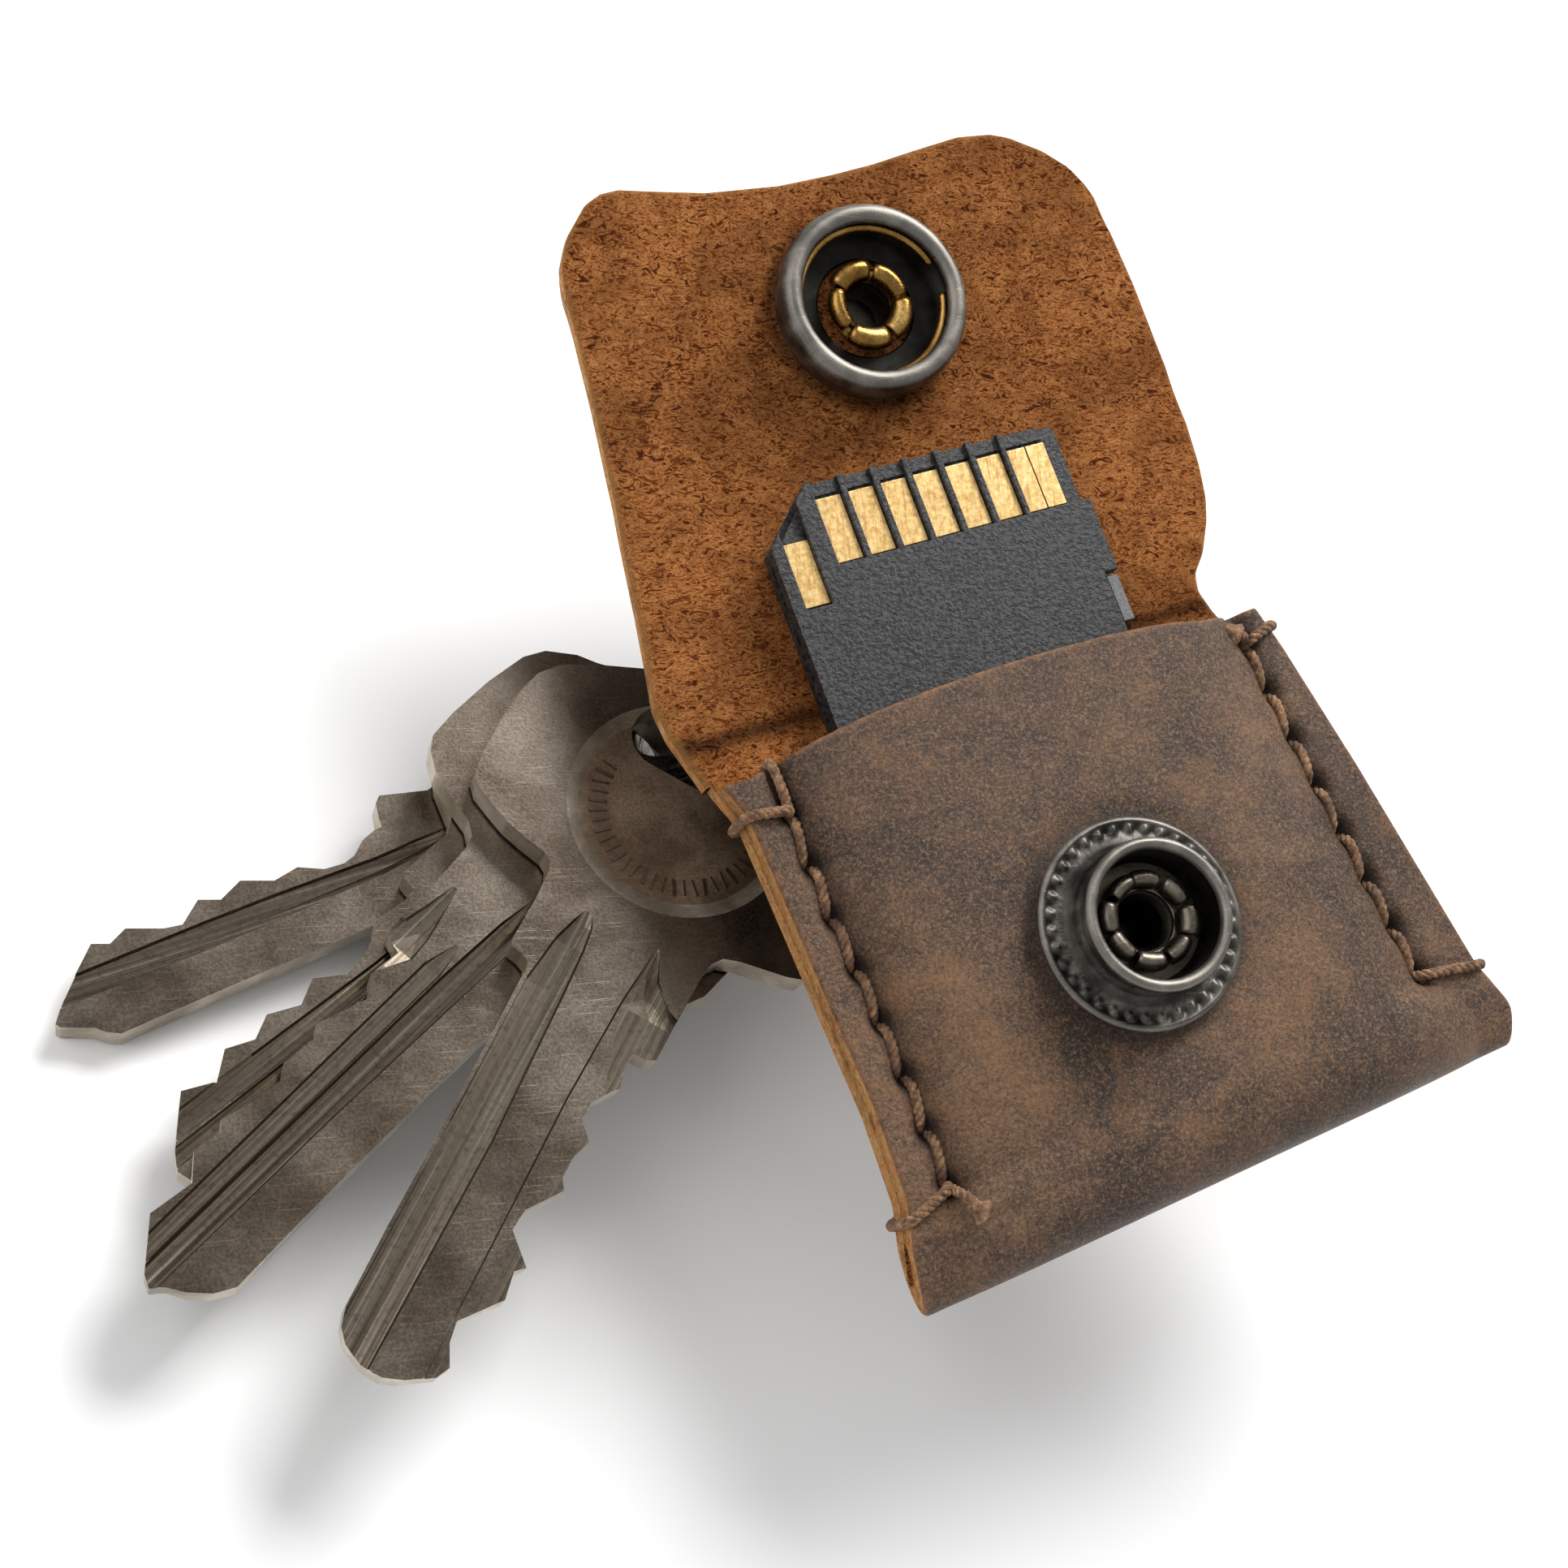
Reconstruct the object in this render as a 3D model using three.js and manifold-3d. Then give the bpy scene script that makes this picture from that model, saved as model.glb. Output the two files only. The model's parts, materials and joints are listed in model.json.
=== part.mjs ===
// Leather memory-card pouch with a spring snap, on a split ring with four cylinder keys.
// Millimetres, +Z up. The pouch is drawn in its own frame (x across, y towards the flap,
// z out of the front), the keys in the frame of their stack; both are nested groups.
import * as THREE from 'three';
import * as BufferGeometryUtils from 'three/addons/utils/BufferGeometryUtils.js';
import Module from 'manifold-3d';

const wasm = await Module();
wasm.setup();

// ---- driving dimensions --------------------------------------------------
const TH = 1.95;            // leather thickness
const TH_IN = 1.75;         // where the front panel is pressed by the card
const BACK = -4.4;          // outer face of the back panel
const BULGE = 3.5;          // how far the front panel swells over the seam level
const SEAM_HALF_TOP = 18.35, SEAM_HALF_BOTTOM = 19.0, SEAM_Y = 13.0;
const STUD = [-0.56, -2.5, 3.0];
const STUD_HOLE_R = 2.6;
const FLANGE_R = 7.15;      // stud flange
const SOCKET_R = 7.0, CAP_R = 7.5;
const HINGE_Y = 17.9, HINGE_Z = -3.42;   // crease at the pouch's mouth
const C_AX = [0.99807, -0.0621, 0];      // crease direction
const D_AX = [0.0621, 0.99807, 0];       // flap's length direction
const ROOT_LEN = 6.2, MID_LEN = 11.5, TIP_LEN = 12.32 + 10.66;
const SOCKET_S = 28.36, SOCKET_P = 0.72;
const ROOT_ANG = -6, MID_ANG = -6, TIP_ANG = 8;      // degrees, flap laid open
const CARD_W = 24, CARD_L = 32, CARD_TOP = [-0.18, 33.59], CARD_ROT = -3.2;
const CARD_FRONT = -0.3, CARD_BACK = -2.4;
const PAD_PITCH = 2.5, PAD_U0 = 3.95;
const KEY_T = 2.2, KEY_PITCH = 2.5;
const RING_R = 9.5, RING_WR = 2.0, RING_WA = 2.4, RING_TILT = 60, RING_LEVEL = 5.5;
const SLOT_L = 12, SLOT_W = 4.8;
const KEYS = {              // heading of the blade, crossing to bow centre, slide along slot, blade reach, blade off the bow's middle
  a: { head: 220.4, slot: 5.05, e: 0.49, reach: 42.6, end: -9.6, side: -1, half: 4.25, off: 0, wide: 13.2, mid: 0 },
  b: { head: 205.6, slot: 8.6, e: 0, reach: 41.3, end: -12.6, side: 1, half: 3.9, off: -0.8, wide: 13.2, mid: 0 },
  c: { head: 201.0, slot: 5.5, e: 1.07, reach: 38.2, end: -10.0, side: 1, half: 4.0, off: 0.4, wide: 12.6, mid: 0.5 },
  d: { head: 180.2, slot: 5.88, e: 3.5, reach: 38.6, end: -10.0, side: 1, half: 3.9, off: -1.0, wide: 12.2, mid: 1.0 },
};
// frame of the key stack in the pouch frame
const K_O = [-21, 5, -9.6];
const K_N = new THREE.Vector3(0.13, 0.13, 0.983).normalize();
const K_X = new THREE.Vector3(1, 0, 0).addScaledVector(K_N, -K_N.x).normalize();
const K_Y = new THREE.Vector3().crossVectors(K_N, K_X);
const RING_W = [0.6, 16.9];                 // where the ring crosses the middle of the stack
const RING_U = [0.86, 0.51];                // towards the ring's centre, in the stack's plane
const LEAN = [0.0745, 0.02];                // the table's upright in the stack's frame

// ---- helpers -------------------------------------------------------------
const mat = (color, roughness, metalness) => new THREE.MeshStandardMaterial({ color, roughness, metalness });
const M = {
  leather: () => mat(0x5c483c, 0.55, 0), suede: () => mat(0x82502c, 0.9, 0), thread: () => mat(0xaa825f, 0.8, 0),
  gun: () => mat(0x5a5550, 0.35, 0.9), brass: () => mat(0xb08a45, 0.3, 0.9), nickel: () => mat(0x9a9184, 0.3, 0.95),
  black: () => mat(0x1c1c1f, 0.6, 0), gold: () => mat(0xd9b061, 0.25, 0.9), grey: () => mat(0xbdbdbd, 0.5, 0), steel: () => mat(0x77726b, 0.3, 0.95),
};
const clean = (g) => { const h = g.index ? g.clone() : g.clone(); h.deleteAttribute('normal'); h.deleteAttribute('uv'); return BufferGeometryUtils.mergeVertices(h, 1e-4); };
const solid = (g) => { const h = clean(g); return new wasm.Manifold(new wasm.Mesh({ numProp: 3, vertProperties: new Float32Array(h.attributes.position.array), triVerts: new Uint32Array(h.index.array) })); };
const geo = (m) => { const r = m.getMesh(); const g = new THREE.BufferGeometry(); g.setAttribute('position', new THREE.BufferAttribute(new Float32Array(r.vertProperties), 3)); g.setIndex(new THREE.BufferAttribute(new Uint32Array(r.triVerts), 1)); return g; };
const node = (parent, name, g, material) => { const m = new THREE.Mesh(g, material); m.name = name; parent.add(m); return m; };
const box = (x0, y0, z0, x1, y1, z1) => new THREE.BoxGeometry(x1 - x0, y1 - y0, z1 - z0).translate((x0 + x1) / 2, (y0 + y1) / 2, (z0 + z1) / 2);
const lathe = (pts, seg = 36) => new THREE.LatheGeometry([...pts, pts[0]].map(p => new THREE.Vector2(p[0], p[1])), seg).rotateX(Math.PI / 2);
const cyl = (r, h, seg = 24) => new THREE.CylinderGeometry(r, r, h, seg).rotateX(Math.PI / 2);
const lerp = (a, b, t) => a + (b - a) * t;
const table = (t, y) => { if (y <= t[0][0]) return t[0][1]; for (let i = 1; i < t.length; i++) if (y <= t[i][0]) return lerp(t[i - 1][1], t[i][1], (y - t[i - 1][0]) / (t[i][0] - t[i - 1][0])); return t[t.length - 1][1]; };
// closed loft through rings of equal length, flat caps at both ends
const loft = (rings) => {
  const n = rings[0].length, pos = [], idx = [];
  rings.forEach(r => r.forEach(p => pos.push(...p)));
  for (let i = 0; i < rings.length - 1; i++) for (let j = 0; j < n; j++) {
    const a = i * n + j, b = i * n + (j + 1) % n, c = a + n, d = b + n; idx.push(a, b, d, a, d, c);
  }
  const cap = (o, flip, u, v) => {
    const s = rings[o / n]; const tri = THREE.ShapeUtils.triangulateShape(s.map(p => new THREE.Vector2(p[u], p[v])), []);
    tri.forEach(t => { const q = flip ? [t[0], t[2], t[1]] : t; idx.push(o + q[0], o + q[1], o + q[2]); });
  };
  return { pos, idx, n, cap };
};
const loftX = (rings) => { // sections are in y-z, listed so that they turn left seen from +x
  const L = loft(rings); L.cap(0, true, 1, 2); L.cap((rings.length - 1) * L.n, false, 1, 2);
  const g = new THREE.BufferGeometry(); g.setAttribute('position', new THREE.Float32BufferAttribute(L.pos, 3)); g.setIndex(L.idx);
  const m = new wasm.Manifold(new wasm.Mesh({ numProp: 3, vertProperties: new Float32Array(L.pos), triVerts: new Uint32Array(L.idx) }));
  return m;
};

// ---- pouch outline and swelling ------------------------------------------
const LEFT = [[-20, -22.4], [-18, -21.6], [-13, -21.1], [-7, -20.9], [0, -21.0], [13.7, -21.1], [16.3, -22.0], [19.5, -22.7]];
const RIGHT = [[-20, 24.6], [-17.5, 25.2], [-14, 23.9], [2, 22.1], [12, 20.7], [17, 19.7], [19.5, 19.2]];
const seamHalf = (y) => lerp(SEAM_HALF_BOTTOM, SEAM_HALF_TOP, (y + SEAM_Y) / (2 * SEAM_Y));
const xAt = (u, y) => lerp(table(LEFT, y), table(RIGHT, y), u);
const swell = (x, y) => {
  const w = seamHalf(y) - 0.6, t = Math.min(1, Math.abs(x) / w);
  const g = 1 - Math.pow(t, 5);
  const h = y > -3 ? lerp(1, 0.84, (y + 3) / 20) : lerp(1, 0.8, Math.min(1, (-3 - y) / 13));
  return BACK + 2 * TH + BULGE * g * h;
};
const lipY = (x) => 15.6 + 1.3 * Math.pow(Math.max(0, 1 - Math.pow((x + 3) / 17, 2)), 0.8) - 0.02 * x;

// ---- pouch body: one strip folded at the bottom, stitched at both sides -----
const US = [0, 0.05, 0.1, 0.15, 0.22, 0.3, 0.38, 0.46, 0.54, 0.62, 0.7, 0.78, 0.85, 0.9, 0.95, 1];
const outer = (u) => {
  const r = [], yl = lipY(xAt(u, 16)), p = (y, z) => r.push([xAt(u, y), y, z]);
  const ys = []; for (let i = 0; i <= 9; i++) ys.push(lerp(yl, -15.2, i / 9));
  ys.forEach(y => p(y, swell(xAt(u, y), y)));
  const z0 = swell(xAt(u, -15.2), -15.2), zc = (z0 + BACK) / 2, rz = (z0 - BACK) / 2;
  for (let i = 1; i < 8; i++) { const a = Math.PI / 2 + Math.PI * i / 8; p(-15.2 + 4.8 * Math.cos(a), zc + rz * Math.sin(a)); }
  p(-15.2, BACK);
  const ye = HINGE_Y + (-0.0621) * xAt(u, 18) - 0.2;
  p(0, BACK); p(ye, BACK); p(ye - 0.9, BACK + TH); p(yl, BACK + TH);
  return r;
};
let body = loftX(US.map(outer));
const inner = (t) => {
  const r = [], half = (y) => lerp(-seamHalf(y) + 1.0, seamHalf(y) - 1.0, t), p = (y, z) => r.push([half(y), y, z]);
  for (let i = 0; i <= 8; i++) { const y = lerp(18.6, -14.6, i / 8); p(y, Math.max(BACK + TH + 0.25, swell(half(y), Math.min(y, 17)) - TH_IN)); }
  const z0 = Math.max(BACK + TH + 0.25, swell(half(-14.6), -14.6) - TH_IN), zc = (z0 + BACK + TH) / 2, rz = (z0 - BACK - TH) / 2;
  for (let i = 1; i < 8; i++) { const a = Math.PI / 2 + Math.PI * i / 8, c = Math.cos(a), n = Math.sin(a); p(-14.6 - 3.4 * Math.pow(-c, 0.5), zc + rz * Math.sign(n) * Math.pow(Math.abs(n), 0.8)); }
  p(-14.6, BACK + TH); p(18.6, BACK + TH);
  return r;
};
body = body.subtract(loftX([0, 0.06, 0.14, 0.24, 0.36, 0.5, 0.64, 0.76, 0.86, 0.94, 1].map(inner)));
body = body.subtract(solid(cyl(STUD_HOLE_R, 8).translate(STUD[0], STUD[1], STUD[2])));

const pouch = new THREE.Group();
node(pouch, 'pouch_body', geo(body), M.leather());

// ---- seam threads --------------------------------------------------------
for (const [name, s] of [['seam_thread_left', -1], ['seam_thread_right', 1]]) {
  const pts = []; for (let i = 0; i <= 6; i++) { const y = lerp(-SEAM_Y, SEAM_Y, i / 6); const x = s * seamHalf(y); pts.push(new THREE.Vector3(x, y, swell(x, y) + 0.68)); }
  const sh = new THREE.Shape(); for (let i = 0; i < 8; i++) { const a = Math.PI * 2 * i / 8; (i ? sh.lineTo : sh.moveTo).call(sh, 0.36 * Math.cos(a), 0.36 * Math.sin(a)); }
  node(pouch, name, new THREE.ExtrudeGeometry(sh, { steps: 12, extrudePath: new THREE.CatmullRomCurve3(pts), bevelEnabled: false }), M.thread());
}

// ---- stud on the front panel ---------------------------------------------
const at = (g, p) => g.translate(p[0], p[1], p[2]);
node(pouch, 'stud', at(lathe([[3.5, 0.25], [FLANGE_R, 0.25], [FLANGE_R, 0.75], [5.15, 0.95], [5.15, 3.5], [4.85, 3.85], [4.3, 3.8], [4.3, 3.3], [4.55, 1.0], [3.5, 0.8]]), STUD), M.gun());
node(pouch, 'stud_post', at(lathe([[1.6, -2.75], [4.2, -2.75], [4.2, -2.42], [2.25, -2.42], [2.25, 1.1], [3.1, 1.2], [3.15, 1.75], [2.5, 2.1], [1.6, 1.8]], 28), STUD), M.gun());

// ---- flap: three stretches of the same strip, as it bends ------------------
const dir = (deg) => { const a = THREE.MathUtils.degToRad(deg); return new THREE.Vector3(D_AX[0], D_AX[1], 0).multiplyScalar(Math.cos(a)).add(new THREE.Vector3(0, 0, Math.sin(a))); };
const cv = new THREE.Vector3(...C_AX);
const flapFrame = (origin, deg) => { const y = dir(deg), z = new THREE.Vector3().crossVectors(cv, y).normalize(); const m = new THREE.Matrix4().makeBasis(cv, y, z); m.setPosition(origin); return m; };
const H1 = new THREE.Vector3(0, HINGE_Y, HINGE_Z);
const H2 = H1.clone().addScaledVector(dir(ROOT_ANG), ROOT_LEN);
const H3 = H2.clone().addScaledVector(dir(MID_ANG), MID_LEN);
const FL = [[0, -23.3], [3.75, -23.3], [6.05, -23.1], [10.8, -22.4], [18.9, -21.3], [25.8, -20.7], [31, -20.4], [35.8, -20.2]];
const FR = [[0, 18.0], [2.6, 18.6], [3.96, 19.5], [6.35, 20.9], [8.2, 21.7], [10.9, 22.4], [14.3, 22.9], [19.3, 22.9], [25.9, 22.3], [30.3, 21.7], [33.8, 21.2], [35.8, 20.6]];
const GAP_IN = 1.15, GAP_OUT = 0.15; // inner edges are bevelled back so that the crease can close
const panel = (s0, s1, tip) => { // prism with bevelled ends; s along the strip, local origin at s0
  const n = 5, rings = [], h = TH / 2;
  for (let i = 0; i <= n; i++) {
    const f = i / n, x = (s, side) => table(side < 0 ? FL : FR, s);
    const gi0 = GAP_IN * 0.9, s = lerp(s0, s1, f);
    const si = lerp(s0 + gi0, s1 - (tip ? 0 : GAP_IN * 0.9), f), so = lerp(s0 + GAP_OUT, s1 - (tip ? 0 : GAP_OUT), f);
    rings.push([[x(si, -1), si - s0, h], [x(so, -1), so - s0, -h], [x(so, 1), so - s0, -h], [x(si, 1), si - s0, h]]);
  }
  const L = loft(rings); const N = L.n;
  L.idx.push(0, 2, 1, 0, 3, 2); const o = n * N; L.idx.push(o, o + 1, o + 2, o, o + 2, o + 3);
  let m = new wasm.Manifold(new wasm.Mesh({ numProp: 3, vertProperties: new Float32Array(L.pos), triVerts: new Uint32Array(L.idx) }));
  if (m.volume() < 0) { const t = []; for (let i = 0; i < L.idx.length; i += 3) t.push(L.idx[i], L.idx[i + 2], L.idx[i + 1]); m = new wasm.Manifold(new wasm.Mesh({ numProp: 3, vertProperties: new Float32Array(L.pos), triVerts: new Uint32Array(t) })); }
  return m;
};
const placed = (m, frame) => geo(m).applyMatrix4(frame);
const rootF = flapFrame(H1, ROOT_ANG), midF = flapFrame(H2, MID_ANG), tipF = flapFrame(H3, TIP_ANG);
node(pouch, 'flap_root', placed(panel(0, ROOT_LEN, false), rootF), M.suede());
node(pouch, 'flap_mid', placed(panel(ROOT_LEN, ROOT_LEN + MID_LEN, false), midF), M.suede());
const s3 = ROOT_LEN + MID_LEN;
const tipShape = new THREE.Shape();
const TIP = [[-20.2, 35.8], [-19.2, 37.9], [-17.2, 40.0], [-15.6, 40.6], [-14.5, 40.6], [-12.15, 40.0], [-8.1, 39.2], [-2.6, 38.7], [4, 38.9], [8.8, 39.4], [12.25, 39.8], [14.9, 39.7], [16.4, 39.3], [18.7, 37.7], [20.6, 35.8]];
const tl = FL.filter(p => p[0] > s3 && p[0] < 35.8).map(p => [p[1], p[0]]), tr = FR.filter(p => p[0] > s3 && p[0] < 35.8).map(p => [p[1], p[0]]).reverse();
[[table(FL, s3 + 0.15), s3 + 0.15], ...tl, ...TIP, ...tr, [table(FR, s3 + 0.15), s3 + 0.15]].forEach((p, i) => (i ? tipShape.lineTo : tipShape.moveTo).call(tipShape, p[0], p[1] - s3));
let tipSolid = solid(new THREE.ExtrudeGeometry(tipShape, { depth: TH, bevelEnabled: false }).translate(0, 0, -TH / 2));
tipSolid = tipSolid.subtract(solid(box(-40, -3, 0, 40, 0.35, 3))); // inner edge eased for the crease
tipSolid = tipSolid.subtract(solid(cyl(2.3, 6, 20).translate(SOCKET_P, SOCKET_S - s3, 0)));
node(pouch, 'flap_tip', placed(tipSolid, tipF), M.suede());

// ---- socket, ring spring, eyelet and cap on the flap -------------------------
const sock = (pts, seg) => lathe(pts, seg).translate(SOCKET_P, SOCKET_S - s3, TH / 2).applyMatrix4(tipF);
node(pouch, 'snap_socket', sock([[3.7, 0.25], [6.3, 0.25], [6.95, 0.9], [SOCKET_R, 2.6], [6.6, 3.25], [6.1, 3.4], [5.55, 3.2], [5.5, 2.75], [6.45, 2.45], [6.45, 1.4], [5.6, 0.65], [3.7, 0.65]], 40), M.gun());
node(pouch, 'socket_spring', sock([[5.75, 1.6], [6.2, 1.6], [6.2, 2.15], [5.75, 2.15]], 36), M.brass());
node(pouch, 'snap_eyelet', sock([[1.45, -2.3], [1.95, -2.3], [1.95, 0.3], [3.2, 0.95], [3.25, 1.45], [2.5, 1.85], [1.45, 1.2]], 28), M.brass());
node(pouch, 'snap_cap', sock([[0, -4.6], [2.5, -4.5], [5.2, -4.0], [7.0, -3.1], [CAP_R, -2.55], [7.2, -2.25], [6.3, -2.3], [5.0, -3.1], [2.4, -3.7], [0, -3.75]], 36), M.gun());

// ---- memory card -------------------------------------------------------------
const card = new THREE.Group(); pouch.add(card);
card.position.set(CARD_TOP[0], CARD_TOP[1], 0); card.rotation.z = THREE.MathUtils.degToRad(CARD_ROT);
const plate = (inset, z0, z1, ch) => { const w = CARD_W / 2 - inset, s = new THREE.Shape(); s.moveTo(-w + ch, -inset); s.lineTo(w, -inset); s.lineTo(w, -CARD_L + inset); s.lineTo(-w, -CARD_L + inset); s.lineTo(-w, -inset - ch); return new THREE.ExtrudeGeometry(s, { depth: z1 - z0, bevelEnabled: false }).translate(0, 0, z0); };
const notch = () => solid(box(10.9, -19.4, -3, 13, -11.8, 1));
let front = solid(plate(0, -1.25, CARD_FRONT, 4)).subtract(notch());
const PADS = [['contact_9', 1.15, -3.9, 1.5, 4.7]];
for (let i = 0; i < 6; i++) PADS.push(['contact_' + (i + 1), PAD_U0 + 0.55 + PAD_PITCH * i, -1.3, 1.6, 4.8]);
PADS.push(['contact_7', 19.4, -1.3, 1.25, 4.8], ['contact_8', 20.95, -1.3, 1.25, 4.8]);
for (const [, u, v, w, l] of PADS) if (u !== 20.95) front = front.subtract(solid(box(u - 12 - 0.12, v - l - 0.25, -0.85, u - 12 + w + 0.12 + (u === 19.4 ? 1.6 : 0), v + (v > -2 ? 0.6 : 0.2), 1)));
node(card, 'card_front_shell', geo(front), M.black());
node(card, 'card_back_shell', geo(solid(plate(0, CARD_BACK, -1.7, 4)).subtract(notch())), M.black());
node(card, 'card_board', plate(1.5, -1.55, -1.39, 3.4), M.grey());
for (const [name, u, v, w, l] of PADS) node(card, name, box(u - 12, v - l, -0.76, u - 12 + w, v, -0.64), M.gold());
node(card, 'write_protect_slider', box(11.05, -15.5, -2.1, 11.85, -12.1, -0.55), M.grey());

// ---- keys, in the frame of their stack ---------------------------------------
const stack = new THREE.Group(); pouch.add(stack);
stack.matrixAutoUpdate = false; stack.matrix.makeBasis(K_X, K_Y, K_N); stack.matrix.setPosition(...K_O);
const top = 0, bottom = -(3 * KEY_PITCH + KEY_T);
const uR = new THREE.Vector3(RING_U[0], RING_U[1], 0).normalize(), tH = new THREE.Vector3(-uR.y, uR.x, 0);
const ca = Math.cos(THREE.MathUtils.degToRad(RING_TILT)), sa = Math.sin(THREE.MathUtils.degToRad(RING_TILT));
const wR = tH.clone().multiplyScalar(-ca).add(new THREE.Vector3(0, 0, sa));
const ringC = new THREE.Vector3(RING_W[0], RING_W[1], bottom + RING_LEVEL).addScaledVector(uR, RING_R);
const crossing = (level) => { const f = Math.asin((level - ringC.z) / (RING_R * sa)); return ringC.clone().addScaledVector(uR, -RING_R * Math.cos(f)).addScaledVector(wR, RING_R * Math.sin(f)); };
let k = 0;
for (const [id, q] of Object.entries(KEYS)) {
  const z1 = top - KEY_PITCH * k, z0 = z1 - KEY_T, X = crossing((z0 + z1) / 2), h = THREE.MathUtils.degToRad(q.head);
  const E = q.end, L = q.reach, s = -q.side;
  const w = q.wide / 13.2, up = [[E, 6.6], [E + 1.6, 8.8], [-5.9 + (E < -12 ? -2.2 : 0), 11.9 * w], [2.9, 13.2 * w], [5.7, 12.8 * w], [7.8, 9.8], [9.0, 6.5]];
  const toothed = [[10.6, 5.5], [16.6, 5.4], [17.6, 5.0], [18.2, q.half]]; const n = 6, pitch = (L - 20.9) / n;
  const depth = [1.3, 0.9, 1.5, 1.1, 1.4, 0.8];
  for (let i = 0; i < n; i++) { const t = 18.4 + pitch * i, d = depth[(i + k * 2) % 6]; toothed.push([t + 0.45 * pitch, q.half + 0.25 - d], [t + 0.65 * pitch, q.half + 0.25 - d], [t + 0.98 * pitch, q.half + 0.2]); }
  toothed.push([L - 1.4, 2.4], [L, 0.6]);
  const plain = [[10.6, 5.3], [15.6, 5.0], [16.2, q.half], [L - 2.6, q.half], [L - 1.0, 2.6]];
  // s turns the toothed side; off moves the whole blade sideways
  const B0 = q.off, A = [...up.map(p => [p[0], s * p[1]]), ...toothed.map(p => [p[0], s * p[1] - B0])];
  const B = [...up.map(p => [p[0], -s * p[1]]), ...plain.map(p => [p[0], -s * p[1] - B0])].reverse();
  const sh = new THREE.Shape(); [...A, ...B].forEach((p, i) => (i ? sh.lineTo : sh.moveTo).call(sh, p[0], p[1]));
  const hole = new THREE.Path(), r = SLOT_W / 2, hl = SLOT_L / 2 - r; const hp = [];
  for (let i = 0; i <= 6; i++) { const a = Math.PI * i / 6; hp.push([-q.slot + r * Math.cos(a), -q.mid + hl + r * Math.sin(a)]); }
  for (let i = 0; i <= 6; i++) { const a = Math.PI + Math.PI * i / 6; hp.push([-q.slot + r * Math.cos(a), -q.mid - hl + r * Math.sin(a)]); }
  hp.forEach((p, i) => (i ? hole.lineTo : hole.moveTo).call(hole, p[0], p[1])); sh.holes.push(hole);
  // local x = towards the blade's tip, y = to its left; the wire passes (−slot, −e) in it
  const g = new THREE.ExtrudeGeometry(sh, { depth: KEY_T, bevelEnabled: false }).translate(q.slot, q.e, z0).rotateZ(h).translate(X.x, X.y, 0);
  node(stack, 'key_' + id, g, M.nickel()); k++;
}

// ---- split ring, through the four slots ----------------------------------------
const ringM = new THREE.Matrix4().makeBasis(uR, wR, new THREE.Vector3().crossVectors(uR, wR)); ringM.setPosition(ringC);
const ri = RING_R - RING_WR / 2, ro = RING_R + RING_WR / 2, ha = RING_WA / 2;
node(stack, 'split_ring', lathe([[ri, -ha + 0.4], [ri + 0.4, -ha], [ro - 0.4, -ha], [ro, -ha + 0.4], [ro, ha - 0.4], [ro - 0.4, ha], [ri + 0.4, ha], [ri, ha - 0.4]], 48).applyMatrix4(ringM), M.steel());

// ---- leather loop that holds the ring, sewn to the back panel ---------------------

const toP = (v) => v.clone().applyMatrix4(stack.matrix);
const ringTop = toP(ringC.clone().addScaledVector(wR, RING_R));
const uP = uR.clone().transformDirection(stack.matrix);
const tab = new THREE.Vector3(-uP.y, uP.x, 0).normalize().multiplyScalar(-1); // in the panel's plane, into the pouch
const LOOP_W = 7, LOOP_BORE = 2.35, LOOP_OUT = 3.65, TAB_L = 20;
const axisM = (o, zdir) => { const z = zdir.clone().normalize(), x = new THREE.Vector3(0, 0, 1).cross(z).normalize(), y = new THREE.Vector3().crossVectors(z, x); const m = new THREE.Matrix4().makeBasis(x, y, z); m.setPosition(o); return m; };
const shift = new THREE.Vector3().copy(ringTop).addScaledVector(toP(ringC).sub(ringTop).normalize(), 0.3);
let loopS = solid(cyl(LOOP_OUT, LOOP_W, 28).applyMatrix4(axisM(shift, uP)));
const tabM = new THREE.Matrix4().makeBasis(new THREE.Vector3().crossVectors(tab, new THREE.Vector3(0, 0, 1)), tab, new THREE.Vector3(0, 0, 1)); tabM.setPosition(new THREE.Vector3(ringTop.x, ringTop.y, 0));
const tabZ1 = BACK - 0.3, tabZ0 = tabZ1 - 2.9;
const slab = new THREE.BufferGeometry().copy(box(-LOOP_W / 2, 2.2, tabZ0, LOOP_W / 2, TAB_L, tabZ1)).applyMatrix4(tabM);
const webShape = box(-LOOP_W / 2, 0.6, shift.z - 1.6, LOOP_W / 2, 6.2, tabZ1 - 0.35).applyMatrix4(tabM);
loopS = loopS.add(solid(slab)).add(solid(webShape).intersect(solid(cyl(6.3, LOOP_W * 2, 28).applyMatrix4(axisM(shift, uP)))));
loopS = loopS.subtract(solid(cyl(LOOP_BORE, LOOP_W * 3, 28).applyMatrix4(axisM(shift, uP))));
loopS = loopS.subtract(solid(box(-60, 16.8, -5.4, 60, 60, 5)));
node(pouch, 'ring_loop', geo(loopS), M.leather());

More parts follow.
